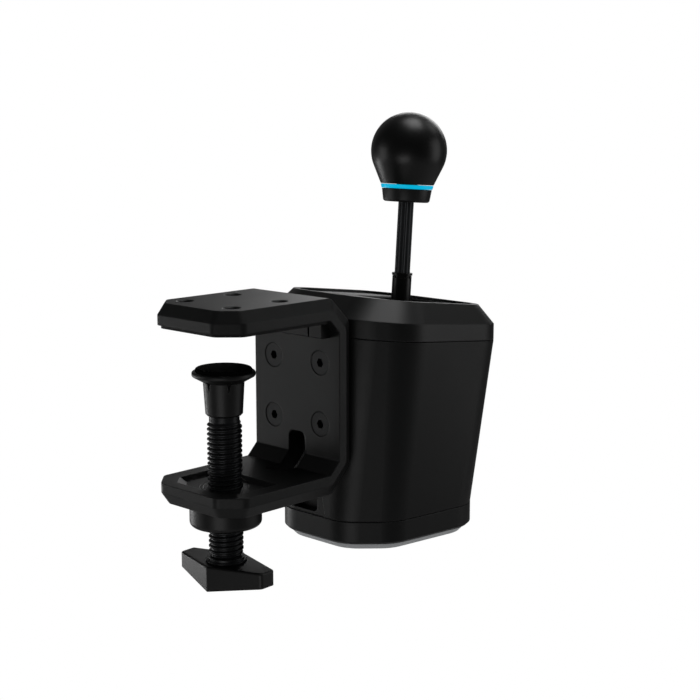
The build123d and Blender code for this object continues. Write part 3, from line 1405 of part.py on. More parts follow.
# Fluted rod with a plain stud that screws into the knob
rod_bottom = collet_top - rod_insertion
rod_top = knob_neck_bottom + rod_entry
with BuildPart() as lever_rod:
    with BuildSketch(across(rod_bottom)):
        Circle(rod_radius)
        with PolarLocations(rod_radius + rod_flute_sink, rod_flute_count):
            Circle(rod_flute_radius, mode=Mode.SUBTRACT)
    extrude(amount=rod_top - rod_bottom)
    with BuildSketch(across(rod_top)):
        Circle(stud_radius)
    extrude(amount=stud_height)
lever_rod.part.label = "lever_rod"
export_step(lever_rod.part, "parts/lever_rod.step")

# Knob: ball above, straight taper below to the ring
ring_top = knob_centre - ring_drop + ring_height / 2
ring_bottom = ring_top - ring_height
taper_drop = knob_centre - ring_top
taper_span = hypot(ring_radius, taper_drop)
tangent_angle = acos(knob_radius / taper_span) - atan2(taper_drop, ring_radius)
tangent = (knob_radius * cos(tangent_angle), knob_centre + knob_radius * sin(tangent_angle))
crown_angle = (pi / 2 + tangent_angle) / 2
insert_bottom = rod_top
insert_top = insert_bottom + insert_height
with BuildPart() as knob_body:
    with BuildSketch(lever_section):
        with BuildLine():
            Polyline((0, knob_centre + knob_radius), (0, insert_top), (insert_radius, insert_top),
                     (insert_radius, ring_top), (ring_radius, ring_top), tangent)
            ThreePointArc(tangent, (knob_radius * cos(crown_angle),
                                    knob_centre + knob_radius * sin(crown_angle)),
                          (0, knob_centre + knob_radius))
        make_face()
    revolve(axis=lever_axis)
knob_body.part.label = "knob_body"
export_step(knob_body.part, "parts/knob_body.step")

with BuildPart() as knob_ring:
    with BuildSketch(lever_section):
        with BuildLine():
            Polyline((insert_radius, ring_bottom + fit), (ring_radius - ring_taper, ring_bottom + fit),
                     (ring_radius, ring_top - fit), (insert_radius, ring_top - fit), close=True)
        make_face()
    revolve(axis=lever_axis)
knob_ring.part.label = "knob_ring"
export_step(knob_ring.part, "parts/knob_ring.step")

with BuildPart() as knob_neck:
    with BuildSketch(lever_section):
        with BuildLine():
            edge_start = (neck_cap_bottom_radius, knob_neck_bottom + neck_cap_edge)
            edge_end = (neck_cap_bottom_radius - neck_cap_edge, knob_neck_bottom)
            Polyline(edge_end, (rod_radius + fit, knob_neck_bottom), (rod_radius + fit, rod_top),
                     (insert_radius, rod_top), (insert_radius, ring_bottom),
                     (neck_cap_top_radius, ring_bottom), edge_start)
            RadiusArc(edge_start, edge_end, neck_cap_edge)
        make_face()
    revolve(axis=lever_axis)
knob_neck.part.label = "knob_neck"
export_step(knob_neck.part, "parts/knob_neck.step")

with BuildPart() as knob_insert:
    with BuildSketch(across(insert_bottom)):
        Circle(insert_radius - fit)
    extrude(amount=insert_height)
    with BuildSketch(across(insert_bottom)):
        Circle(stud_radius)
    extrude(amount=stud_height, mode=Mode.SUBTRACT)
knob_insert.part.label = "knob_insert"
export_step(knob_insert.part, "parts/knob_insert.step")

# Detent plunger under the sector: threaded body and its ball
plunger_ball_z = pivot_z - sector_radius - seat_gap - ball_radius
with BuildPart() as detent_plunger:
    with BuildSketch(Plane.XZ.offset(-pivot_y)):
        with BuildLine():
            plunger_top = plunger_ball_z - ball_radius / 2
            Polyline((sector_x, chassis_floor_top), (sector_x + plunger_radius, chassis_floor_top),
                     (sector_x + plunger_radius, plunger_top - plunger_nose),
                     (sector_x + ball_radius, plunger_top), (sector_x, plunger_top), close=True)
        make_face()
    revolve(axis=Axis((sector_x, pivot_y, pivot_z), (0, 0, 1)))
    with Locations((sector_x, pivot_y, plunger_ball_z)):
        Sphere(ball_radius)
detent_plunger.part.label = "detent_plunger"
export_step(detent_plunger.part, "parts/detent_plunger.step")

# Rubber stops on the chassis posts
with BuildPart() as bump_stops:
    for way in (1, -1):
        with Locations((0, pivot_y + way * stop_place, stop_top(way) - stop_rubber)):
            Cylinder(stop_radius, stop_rubber, align=(Align.CENTER, Align.CENTER, Align.MIN))
bump_stops.part.label = "bump_stops"
export_step(bump_stops.part, "parts/bump_stops.step")

# Springs: one each side of the yoke's tail, and one round the cross shaft's rear end
spring_room = spring_post_reach - tail_half_width - 2 * (spring_wire_radius + seat_gap)
for way, name in ((1, "pitch_spring_front"), (-1, "pitch_spring_rear")):
    spring_start = (tail_x, pivot_y + way * (tail_half_width + spring_wire_radius + seat_gap),
                    spring_z)
    coil = spring(spring_start, way * spring_room, spring_coil_radius, spring_wire_radius,
                  spring_turns)
    coil.label = name
    export_step(coil, f"parts/{name}.step")

roll_start = yoke_half_length + clip_gap + circlip_thickness + roll_spring_wire + seat_gap
with BuildPart() as roll_spring:
    with BuildLine() as roll_path:
        Helix(pitch=roll_spring_pitch, height=roll_spring_turns * roll_spring_pitch,
              radius=roll_spring_radius, center=pivot - cross_dir * roll_start,
              direction=cross_dir * -1)
    with BuildSketch(Plane(origin=roll_path.line @ 0, z_dir=roll_path.line % 0)):
        Circle(roll_spring_wire)
    sweep()
roll_spring.part.label = "roll_spring"
export_step(roll_spring.part, "parts/roll_spring.step")

# Main circuit board on the chassis' front plate, with its parts and screws
board_plane = Plane(origin=(0, board_front_y, board_middle_z), x_dir=(-1, 0, 0), z_dir=(0, -1, 0))
with BuildPart() as main_board:
    with BuildSketch(board_plane):
        RectangleRounded(2 * board_half_width, board_height, board_standoff_radius)
        with GridLocations(board_screw_x, board_screw_z, 2, 2):
            Circle(board_screw_radius + fit, mode=Mode.SUBTRACT)
    extrude(amount=board_thickness)
main_board.part.label = "main_board"
export_step(main_board.part, "parts/main_board.step")

parts_plane = board_plane.offset(board_thickness)
with BuildPart() as board_parts:
    with BuildSketch(parts_plane):
        Rectangle(chip_size, chip_size)
        for column in (-1, 1):
            with Locations((column * board_half_width / 2, chip_size)):
                Rectangle(chip_size / 2, chip_size)
    extrude(amount=chip_height)
    with BuildSketch(parts_plane):
        for row in (-1, 1):
            with Locations((0, row * (board_height / 2 - plug_height))):
                Rectangle(plug_width, plug_height)
    extrude(amount=plug_height)
board_parts.part.label = "board_parts"
export_step(board_parts.part, "parts/board_parts.step")

with BuildPart() as board_screws:
    with Locations(parts_plane):
        with GridLocations(board_screw_x, board_screw_z, 2, 2):
            Cylinder(board_screw_head, board_thickness,
                     align=(Align.CENTER, Align.CENTER, Align.MIN))
            Cylinder(board_screw_radius, board_thickness + board_standoff,
                     align=(Align.CENTER, Align.CENTER, Align.MAX))
board_screws.part.label = "board_screws"
export_step(board_screws.part, "parts/board_screws.step")

# Angle sensors: a small board and its chip facing each magnet
sensor_x = journal_end + sensor_gap + chip_height
side_outer = side_plate_inner + side_plate_thickness
with BuildPart() as pitch_sensor:
    with BuildSketch(Plane(origin=(sensor_x, pivot_y, pivot_z), x_dir=(0, 1, 0),
                           z_dir=(1, 0, 0))):
        Rectangle(2 * sensor_half_size, 2 * sensor_half_size)
    extrude(amount=board_thickness)
    with BuildSketch(Plane(origin=(sensor_x, pivot_y, pivot_z), x_dir=(0, 1, 0),
                           z_dir=(1, 0, 0))):
        Rectangle(sensor_chip, sensor_chip)
    extrude(amount=-chip_height)
    # Legs that hold it to the side plate
    for row in (-1, 1):
        with Locations((side_outer + fit, pivot_y,
                        pivot_z + row * (sensor_half_size - board_thickness / 2))):
            Box(sensor_x - side_outer - fit, sensor_half_size, board_thickness,
                align=(Align.MIN, Align.CENTER, Align.CENTER))
pitch_sensor.part.label = "pitch_sensor"
export_step(pitch_sensor.part, "parts/pitch_sensor.step")

roll_sensor_start = shaft_reach + sensor_gap + chip_height
with BuildPart() as roll_sensor:
    with BuildSketch(along_cross(roll_sensor_start)):
        Rectangle(2 * sensor_half_size, 2 * sensor_half_size - board_thickness)
    extrude(amount=board_thickness)
    with BuildSketch(along_cross(roll_sensor_start)):
        Rectangle(sensor_chip, sensor_chip)
    extrude(amount=-chip_height)
    # Legs that hold it to the yoke's front wall
    with BuildSketch(along_cross(yoke_half_length + fit)):
        for column in (-1, 1):
            with Locations((column * (sensor_half_size - board_thickness), 0)):
                Rectangle(board_thickness, sensor_half_size)
    extrude(amount=roll_sensor_start - yoke_half_length - fit)
roll_sensor.part.label = "roll_sensor"
export_step(roll_sensor.part, "parts/roll_sensor.step")
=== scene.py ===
import logging
import math
from dataclasses import dataclass, field
from enum import Enum
from typing import Any, Optional, Sequence, Union

import bpy
import numpy as np
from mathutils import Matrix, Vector


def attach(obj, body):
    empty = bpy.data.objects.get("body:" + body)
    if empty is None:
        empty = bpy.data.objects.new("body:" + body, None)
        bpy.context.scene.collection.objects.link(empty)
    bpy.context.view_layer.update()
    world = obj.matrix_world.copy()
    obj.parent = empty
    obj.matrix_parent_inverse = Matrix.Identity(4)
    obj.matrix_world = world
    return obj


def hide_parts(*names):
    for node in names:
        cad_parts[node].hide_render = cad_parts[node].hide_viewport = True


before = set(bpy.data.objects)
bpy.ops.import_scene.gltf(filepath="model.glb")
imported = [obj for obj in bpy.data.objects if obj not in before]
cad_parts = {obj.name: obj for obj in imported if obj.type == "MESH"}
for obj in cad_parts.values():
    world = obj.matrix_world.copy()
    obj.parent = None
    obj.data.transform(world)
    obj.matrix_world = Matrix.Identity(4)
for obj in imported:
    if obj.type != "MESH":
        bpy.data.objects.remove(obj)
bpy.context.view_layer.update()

# Looks for a desk-clamped gear shifter. Everything is in metres, in the CAD's frame: the desk
# top is Z = 0, +Y points over the desk and the origin is on the clamp screw's axis.

LOG = logging.getLogger("gear_shifter")
MM = 0.001
PICTURE_SENSOR_MM = 36.0

Array = np.ndarray

# sRGB's curve: a straight toe, then a power
SRGB_TOE, SRGB_TOE_SLOPE = 0.04045, 12.92
SRGB_OFFSET, SRGB_POWER = 0.055, 2.4

# How the grains stretch and share the cells of their noise
TURNED_RINGS = (1.0, 1.0, 40.0)
ROLLED_STREAKS = (1.0, 1.0, 0.03)
CELLS_A_WEAVE_BAND = 6.0
CELLS_A_CAST_WAVE = 3.0

# Cosines between the rounded and the flat normal at which the edge tint starts and is complete;
# the tint is partly rubbed wear and partly a painted highlight
EDGE_WEAR_AND_HIGHLIGHT_START, EDGE_WEAR_AND_HIGHLIGHT_FULL = 0.985, 0.90

# In a rounded profile, an arc takes less than half of a side, and corners this near to
# straight, in radians, stay as they are
MOST_OF_HALF_A_SIDE = 0.49
NEARLY_STRAIGHT = 1e-3


def linear(hex_colour: str) -> tuple[float, float, float, float]:
    """Turns an sRGB hex colour into the linear colour that the shader sockets take.

    Args:
        hex_colour: Six hexadecimal digits with a leading number sign.

    Returns:
        Linear red, green and blue, and full alpha.
    """
    parts = np.array([int(hex_colour[i:i + 2], 16) for i in (1, 3, 5)]) / 255.0
    values = np.where(parts <= SRGB_TOE, parts / SRGB_TOE_SLOPE,
                      ((parts + SRGB_OFFSET) / (1.0 + SRGB_OFFSET)) ** SRGB_POWER)
    return (float(values[0]), float(values[1]), float(values[2]), 1.0)


def add_node(tree: bpy.types.NodeTree, kind: str, settings: Optional[dict[str, Any]] = None,
             links: Optional[dict[Union[str, int], bpy.types.NodeSocket]] = None
             ) -> bpy.types.Node:
    """Adds one node, sets its properties and sockets, and links its inputs.

    Args:
        tree: The node tree that gets the node.
        kind: The node's type name, such as "ShaderNodeTexNoise".
        settings: Properties or input sockets by name, with their values.
        links: Input sockets by name or index, with the output that feeds each.

    Returns:
        The new node.
    """
    node = tree.nodes.new(kind)
    for name, value in (settings or {}).items():
        if name in node.inputs:
            node.inputs[name].default_value = value
        else:
            setattr(node, name, value)
    for name, output in (links or {}).items():
        tree.links.new(output, node.inputs[name])
    return node


class Grain(Enum):
    """How a surface was made, which decides its bump pattern."""

    POWDER = "sprayed powder that fused into fine pebbles"
    MOULDED = "spark-eroded mould texture"
    SMOOTH = "polished mould or lacquer"
    TURNED = "fine rings left by a lathe, round the Z axis"
    ROLLED = "drawn or rolled stock with fine streaks along Z"
    CAST = "die-cast skin with soft waves"
    RUBBER = "matt rubber with a dusty bloom"
    LAMINATE = "glass-cloth laminate with its weave"


@dataclass(frozen=True)
class Finish:
    """One material of the shifter, named for what it is and how it was made.

    Attributes:
        name: The material's name.
        grain: The way the surface was made.
        colour: Main sRGB colour.
        shade: Second sRGB colour of the slow variation over the surface.
        roughness: Middle of the roughness.
        spread: How far the roughness varies either way.
        metallic: 1 for bare metal.
        specular: Specular level of a coat or plastic; sprayed and eroded skins scatter it.
        grain_mm: Size of the pattern's cells or lines.
        depth_mm: Height of the pattern.
        mottle_mm: Size of the slow variation.
        edge_mm: Radius of the softened edges.
        edge_wear_and_highlight_colour: Colour that edges are tinted to, partly as rubbed wear and
            partly as a painted highlight.
        edge_wear_and_highlight_share: How far the edge tint goes, from 0 to 1.
        painted_glow: Share of its colour that the piece gives off as painted glow, which stands in
            for light that the lamps don't give it.
    """

    name: str
    grain: Grain
    colour: str
    shade: str
    roughness: float
    spread: float = 0.04
    metallic: float = 0.0
    specular: float = 0.5
    grain_mm: float = 0.6
    depth_mm: float = 0.02
    mottle_mm: float = 30.0
    edge_mm: float = 0.5
    edge_wear_and_highlight_colour: str = "#4A4C4E"
    edge_wear_and_highlight_share: float = 0.5
    painted_glow: float = 0.0

    def pattern(self, tree: bpy.types.NodeTree, place: bpy.types.NodeSocket
                ) -> bpy.types.NodeSocket:
        """Adds the grain's height pattern.

        Args:
            tree: The material's node tree.
            place: Object coordinates, in metres.

        Returns:
            A height from 0 to 1.
        """
        cells = 1.0 / (self.grain_mm * MM)
        if self.grain in (Grain.POWDER, Grain.RUBBER):
            node = add_node(tree, "ShaderNodeTexNoise",
                            {"Scale": cells, "Detail": 3.0, "Roughness": 0.6},
                            {"Vector": place})
            return node.outputs["Fac"]
        if self.grain is Grain.MOULDED:
            node = add_node(tree, "ShaderNodeTexVoronoi",
                            {"Scale": cells, "feature": "SMOOTH_F1", "Smoothness": 0.6},
                            {"Vector": place})
            return node.outputs["Distance"]
        if self.grain in (Grain.TURNED, Grain.ROLLED):
            stretch = ROLLED_STREAKS
            if self.grain is Grain.TURNED:
                stretch = TURNED_RINGS
                cells /= TURNED_RINGS[2]
            mapping = add_node(tree, "ShaderNodeMapping", {"Scale": stretch}, {"Vector": place})
            node = add_node(tree, "ShaderNodeTexNoise", {"Scale": cells, "Detail": 2.0},
                            {"Vector": mapping.outputs["Vector"]})
            return node.outputs["Fac"]
        if self.grain is Grain.LAMINATE:
            node = add_node(tree, "ShaderNodeTexWave",
                            {"Scale": cells / CELLS_A_WEAVE_BAND, "Distortion": 0.5,
                             "bands_direction": "Z"}, {"Vector": place})
            return node.outputs["Fac"]
        node = add_node(tree, "ShaderNodeTexNoise",
                        {"Scale": cells / CELLS_A_CAST_WAVE, "Detail": 1.0}, {"Vector": place})
        return node.outputs["Fac"]

    def build(self) -> bpy.types.Material:
        """Makes the material: slow colour and roughness variation, grain, soft edges tinted partly
        as rubbed wear and partly as a painted highlight, and any painted glow.
        """
        material = bpy.data.materials.new(self.name)
        material.use_nodes = True
        tree = material.node_tree
        tree.nodes.clear()
        place = add_node(tree, "ShaderNodeTexCoord").outputs["Object"]
        mottle = add_node(tree, "ShaderNodeTexNoise",
                          {"Scale": 1.0 / (self.mottle_mm * MM), "Detail": 4.0},
                          {"Vector": place}).outputs["Fac"]
        height = self.pattern(tree, place)
        colour = add_node(tree, "ShaderNodeMix", {"data_type": "RGBA"}, {0: mottle})
        colour.inputs[6].default_value = linear(self.colour)
        colour.inputs[7].default_value = linear(self.shade)
        # Edges: where the rounded normal leaves the flat one, the colour is tinted towards the
        # edge colour, partly as rubbed wear and partly as a painted highlight
        bevel = add_node(tree, "ShaderNodeBevel", {"samples": 6, "Radius": self.edge_mm * MM})
        flat = add_node(tree, "ShaderNodeNewGeometry").outputs["Normal"]
        turn = add_node(tree, "ShaderNodeVectorMath", {"operation": "DOT_PRODUCT"},
                        {0: bevel.outputs["Normal"], 1: flat})
        edge_wear_and_highlight = add_node(tree, "ShaderNodeMapRange",
                          {"From Min": EDGE_WEAR_AND_HIGHLIGHT_START, "From Max": EDGE_WEAR_AND_HIGHLIGHT_FULL, "To Min": 0.0,
                           "To Max": self.edge_wear_and_highlight_share}, {"Value": turn.outputs["Value"]})
        worn_and_highlit_colour = add_node(tree, "ShaderNodeMix", {"data_type": "RGBA"},
                        {0: edge_wear_and_highlight.outputs["Result"], 6: colour.outputs[2]})
        worn_and_highlit_colour.inputs[7].default_value = linear(self.edge_wear_and_highlight_colour)
        rough = add_node(tree, "ShaderNodeMapRange",
                         {"To Min": self.roughness - self.spread,
                          "To Max": self.roughness + self.spread}, {"Value": mottle})
        bump = add_node(tree, "ShaderNodeBump",
                        {"Strength": 1.0, "Distance": self.depth_mm * MM},
                        {"Height": height, "Normal": bevel.outputs["Normal"]})
        # The emission is painted glow: a share of the surface colour given off, though the piece
        # is no lamp
        shader = add_node(tree, "ShaderNodeBsdfPrincipled",
                          {"Metallic": self.metallic, "Specular IOR Level": self.specular,
                           "Emission Strength": self.painted_glow},
                          {"Base Color": worn_and_highlit_colour.outputs[2], "Emission Color": worn_and_highlit_colour.outputs[2],
                           "Roughness": rough.outputs["Result"],
                           "Normal": bump.outputs["Normal"]})
        add_node(tree, "ShaderNodeOutputMaterial", links={"Surface": shader.outputs["BSDF"]})
        return material


# Every finish tints its edges towards its edge colour: partly rubbed wear, partly a painted
# highlight
# Powder coat on the steel bracket: near black, with pebbles that sparkle at a grazing angle
BRACKET_COAT = Finish("powder_coated_steel", Grain.POWDER, "#090A0A", "#0D0E0E", 0.46,
                      specular=0.30, grain_mm=0.55, depth_mm=0.045, edge_mm=1.0,
                      edge_wear_and_highlight_colour="#1E1F20", edge_wear_and_highlight_share=0.3)
# Casing: glass-filled plastic with an eroded skin, satin rather than matt
CASING_SKIN = Finish("moulded_casing_plastic", Grain.MOULDED, "#080909", "#0B0C0C", 0.42,
                     specular=0.30, grain_mm=0.6, depth_mm=0.006, edge_mm=0.8,
                     edge_wear_and_highlight_share=0.1)
BEZEL_SKIN = Finish("moulded_bezel_plastic", Grain.MOULDED, "#080909", "#0C0D0D", 0.40,
                    specular=0.36, grain_mm=0.6, depth_mm=0.006, edge_mm=1.0,
                    edge_wear_and_highlight_share=0.1)
GATE_SKIN = Finish("anodised_gate_aluminium", Grain.POWDER, "#08090A", "#0D0E0F", 0.45,
                   metallic=0.2, specular=0.25, grain_mm=0.5, depth_mm=0.012,
                   edge_wear_and_highlight_colour="#2A2B2C")
BLACK_PLASTIC = Finish("black_moulded_plastic", Grain.MOULDED, "#080808", "#0C0C0C", 0.46,
                       specular=0.30, grain_mm=0.6, depth_mm=0.008, edge_mm=0.4,
                       edge_wear_and_highlight_share=0.1)
HANDLE_PLASTIC = Finish("glass_filled_handle_nylon", Grain.MOULDED, "#0A0A0A", "#0E0E0E",
                        0.40, specular=0.36, grain_mm=0.6, depth_mm=0.008, edge_mm=0.8,
                        edge_wear_and_highlight_colour="#222324", edge_wear_and_highlight_share=0.2)
FOOT_TRIM = Finish("grey_base_plate_plastic", Grain.SMOOTH, "#B6B8BA", "#A9ABAD", 0.5,
                   edge_wear_and_highlight_colour="#C4C6C8", edge_wear_and_highlight_share=0.2)
RUBBER = Finish("matt_black_rubber", Grain.RUBBER, "#030303", "#050505", 0.85,
                specular=0.02, grain_mm=0.5, depth_mm=0.015, edge_wear_and_highlight_share=0.0)
PAD_RUBBER = Finish("dense_pad_rubber", Grain.RUBBER, "#0B0B0B", "#0F0F0F", 0.62,
                    specular=0.22, grain_mm=0.5, depth_mm=0.012, edge_mm=0.4, edge_wear_and_highlight_share=0.0)
BLACK_STEEL = Finish("black_oxide_steel", Grain.TURNED, "#141516", "#1C1D1F", 0.34,
                     metallic=0.5, specular=0.40, grain_mm=0.4, depth_mm=0.005, edge_mm=0.3,
                     edge_wear_and_highlight_colour="#46484A", edge_wear_and_highlight_share=0.5)
SOCKET_STEEL = Finish("black_zinc_screw_steel", Grain.TURNED, "#0B0C0C", "#101112", 0.40,
                      metallic=0.3, specular=0.30, grain_mm=0.4, depth_mm=0.004,
                      edge_mm=0.3, edge_wear_and_highlight_colour="#2C2D2F", edge_wear_and_highlight_share=0.3)
ROD_STEEL = Finish("drawn_black_rod_steel", Grain.ROLLED, "#2A2C2E", "#323436", 0.32,
                   metallic=0.6, specular=0.5, grain_mm=0.3, depth_mm=0.003, edge_mm=0.3,
                   edge_wear_and_highlight_colour="#46484A", edge_wear_and_highlight_share=0.4)
SLEEVE_STEEL = Finish("satin_black_tube_steel", Grain.ROLLED, "#0D0E0E", "#121313", 0.34,
                      metallic=0.4, specular=0.6, grain_mm=0.3, depth_mm=0.003, edge_mm=0.3,
                      edge_wear_and_highlight_colour="#2A2B2C", edge_wear_and_highlight_share=0.3)
BRIGHT_STEEL = Finish("ground_steel", Grain.TURNED, "#B9BBBD", "#A7A9AB", 0.25,
                      metallic=1.0, grain_mm=0.3, depth_mm=0.004, edge_wear_and_highlight_colour="#DCDEE0")
SPRING_STEEL = Finish("drawn_spring_steel", Grain.ROLLED, "#8F9092", "#7C7D7F", 0.32,
                      metallic=1.0, grain_mm=0.2, depth_mm=0.003, edge_wear_and_highlight_colour="#B5B6B8")
CAST_ALLOY = Finish("die_cast_aluminium", Grain.CAST, "#A3A5A7", "#8F9193", 0.45,
                    metallic=1.0, grain_mm=1.2, depth_mm=0.03, edge_wear_and_highlight_colour="#C8CACC")
BRONZE = Finish("sintered_bronze", Grain.CAST, "#9A6B3C", "#845A31", 0.42, metallic=1.0,
                grain_mm=0.8, depth_mm=0.01, edge_wear_and_highlight_colour="#C08A50")
BRASS = Finish("turned_brass", Grain.TURNED, "#B08D4A", "#9A7A3E", 0.3, metallic=1.0,
               grain_mm=0.4, depth_mm=0.005, edge_wear_and_highlight_colour="#D6B56C")
KNOB_SHELL = Finish("satin_knob_plastic", Grain.SMOOTH, "#060606", "#080808", 0.36,
                    spread=0.02, specular=0.42, grain_mm=1.0, depth_mm=0.001, edge_wear_and_highlight_share=0.0)
# The cyan ring gives off painted glow, a quarter of its colour, so it looks brighter than its
# lamps light it
KNOB_CYAN = Finish("cyan_ring_plastic", Grain.SMOOTH, "#00D4FF", "#00C8FA", 0.34,
                   specular=0.12, grain_mm=0.8, depth_mm=0.002, edge_wear_and_highlight_colour="#5CD6F5",
                   edge_wear_and_highlight_share=0.2, painted_glow=0.25)
KNOB_GREY = Finish("dark_grey_neck_plastic", Grain.MOULDED, "#101111", "#141515", 0.42,
                   specular=0.36, grain_mm=0.6, depth_mm=0.006, edge_mm=0.4, edge_wear_and_highlight_share=0.1)
CIRCUIT_GREEN = Finish("solder_masked_laminate", Grain.LAMINATE, "#0F4A2C", "#0C3D25", 0.3,
                       grain_mm=0.4, depth_mm=0.003, edge_wear_and_highlight_colour="#3B8060")
CHIP_BLACK = Finish("chip_epoxy", Grain.RUBBER, "#101011", "#151516", 0.55, grain_mm=0.2,
                    depth_mm=0.003)
MAGNET_NICKEL = Finish("nickel_plated_magnet", Grain.SMOOTH, "#C7C3BA", "#B9B5AC", 0.15,
                       metallic=1.0, depth_mm=0.001)


@dataclass
class Dresser:
    """Gives pieces their finishes, building each material once."""

    made: dict[str, bpy.types.Material] = field(default_factory=dict)

    def material(self, finish: Finish) -> bpy.types.Material:
        """The finish's material, made on first use."""
        if finish.name not in self.made:
            self.made[finish.name] = finish.build()
        return self.made[finish.name]

    def dress(self, piece: bpy.types.Object, finish: Finish) -> None:
        """Puts one finish on every slot of a piece."""
        material = self.material(finish)
        if not piece.material_slots:
            piece.data.materials.append(material)
        for slot in piece.material_slots:
            slot.material = material

    def dress_nodes(self, finishes: dict[str, Finish]) -> None:
        """Puts finishes on CAD nodes by name."""
        for name, finish in finishes.items():
            self.dress(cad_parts[name], finish)
            LOG.info("dressed %s in %s", name, finish.name)


@dataclass(frozen=True)
class Axis:
    """A straight axis in space, with two directions across it.

    Attributes:
        origin: The point that lengths along the axis start from.
        along: Unit direction of the axis.
        across: Unit direction at angle zero.
    """

    origin: tuple[float, float, float]
    along: tuple[float, float, float]
    across: tuple[float, float, float] = (1.0, 0.0, 0.0)

    def points(self, radius: Array, angle: Array, length: Array) -> Array:
        """Points at a radius, an angle round the axis and a length along it.

        Args:
            radius: Distances from the axis, as an array.
            angle: Angles in radians, of the same shape.
            length: Lengths from the origin, of the same shape.

        Returns:
            An array of that shape with a last axis of X, Y and Z.
        """
        along, first = np.array(self.along), np.array(self.across)
        second = np.cross(along, first)
        return (np.array(self.origin) + length[..., None] * along
                + (radius * np.cos(angle))[..., None] * first
                + (radius * np.sin(angle))[..., None] * second)


def closed_surface(name: str, grid: Array, sharp: float = 30.0) -> bpy.types.Object:
    """Makes a closed mesh from rings of points, with a fan over each end.

    Each row of the grid is one ring. Neighbouring rings are joined by quads whose corners are
    (row, column), (row, column + 1), (row + 1, column + 1) and (row + 1, column), columns
    taken round, and each end ring is closed to its middle point.

    Args:
        name: The piece's name.
        grid: Points, shaped rows by columns by 3, with rings turning left round the way up.
        sharp: Angle in degrees above which an edge stays sharp.

    Returns:
        The new object, linked to the scene.
    """
    rows, columns = grid.shape[:2]
    number = np.arange(rows * columns).reshape(rows, columns)
    beside = np.roll(number, -1, axis=1)
    quads = np.stack([number[:-1], beside[:-1], beside[1:], number[1:]], axis=-1).reshape(-1, 4)
    ends = np.stack([grid[0].mean(axis=0), grid[-1].mean(axis=0)])
    low, high = rows * columns, rows * columns + 1
    first = np.stack([beside[0], number[0], np.full(columns, low)], axis=-1)
    last = np.stack([number[-1], beside[-1], np.full(columns, high)], axis=-1)
    mesh = bpy.data.meshes.new(name)
    mesh.from_pydata(np.concatenate([grid.reshape(-1, 3), ends]).tolist(), [],
                     quads.tolist() + first.tolist() + last.tolist())
    mesh.shade_smooth()
    mesh.set_sharp_from_angle(angle=math.radians(sharp))
    piece = bpy.data.objects.new(name, mesh)
    bpy.context.scene.collection.objects.link(piece)
    return piece


def rounded(corners: Sequence[tuple[float, float, float]], steps: int = 6) -> Array:
    """Profile with its corners rounded by arcs.

    A corner's arc starts and ends at its radius times tan(turn / 2) from the corner, and its
    points lie on the circle that touches both straights.

    Args:
        corners: Radius, length and rounding radius of each corner, in metres, in order.
        steps: Points on each arc.

    Returns:
        Points as an array of rows of radius and length.
    """
    spots = np.array([c[:2] for c in corners])
    out = [spots[0]]
    for i in range(1, len(corners) - 1):
        back, ahead = spots[i - 1] - spots[i], spots[i + 1] - spots[i]
        reach_back, reach_ahead = np.linalg.norm(back), np.linalg.norm(ahead)
        back, ahead = back / reach_back, ahead / reach_ahead
        half = math.acos(float(np.clip(back @ ahead, -1.0, 1.0))) / 2
        radius = corners[i][2]
        if radius <= 0 or half > math.pi / 2 - NEARLY_STRAIGHT:
            out.append(spots[i])
            continue
        cut = min(radius / math.tan(half), MOST_OF_HALF_A_SIDE * reach_back,
                  MOST_OF_HALF_A_SIDE * reach_ahead)
        middle = (back + ahead) / np.linalg.norm(back + ahead)
        centre = spots[i] + middle * cut / math.cos(half)
        start, end = spots[i] + back * cut - centre, spots[i] + ahead * cut - centre
        sweep = math.atan2(start[0] * end[1] - start[1] * end[0], float(start @ end))
        angles = np.linspace(0.0, sweep, steps)
        turned = np.stack([start[0] * np.cos(angles) - start[1] * np.sin(angles),
                           start[0] * np.sin(angles) + start[1] * np.cos(angles)], axis=-1)
        out.extend(centre + turned)
    out.append(spots[-1])
    return np.array(out)


def turned(name: str, axis: Axis, profile: Array, segments: int = 96,
           sharp: float = 30.0) -> bpy.types.Object:
    """Makes a turned piece: every profile point is carried once round the axis.

    Args:
        name: The piece's name.
        axis: The axis of turning.
        profile: Rows of radius and length, from the low end to the high one.
        segments: Points in each ring.
        sharp: Angle in degrees above which an edge stays sharp.

    Returns:
        The new object.
    """
    angle = np.linspace(0.0, 2 * np.pi, segments, endpoint=False)[None, :]
    radius = np.repeat(profile[:, :1], segments, axis=1)
    length = np.repeat(profile[:, 1:], segments, axis=1)
    return closed_surface(name, axis.points(radius, angle + 0 * radius, length), sharp)


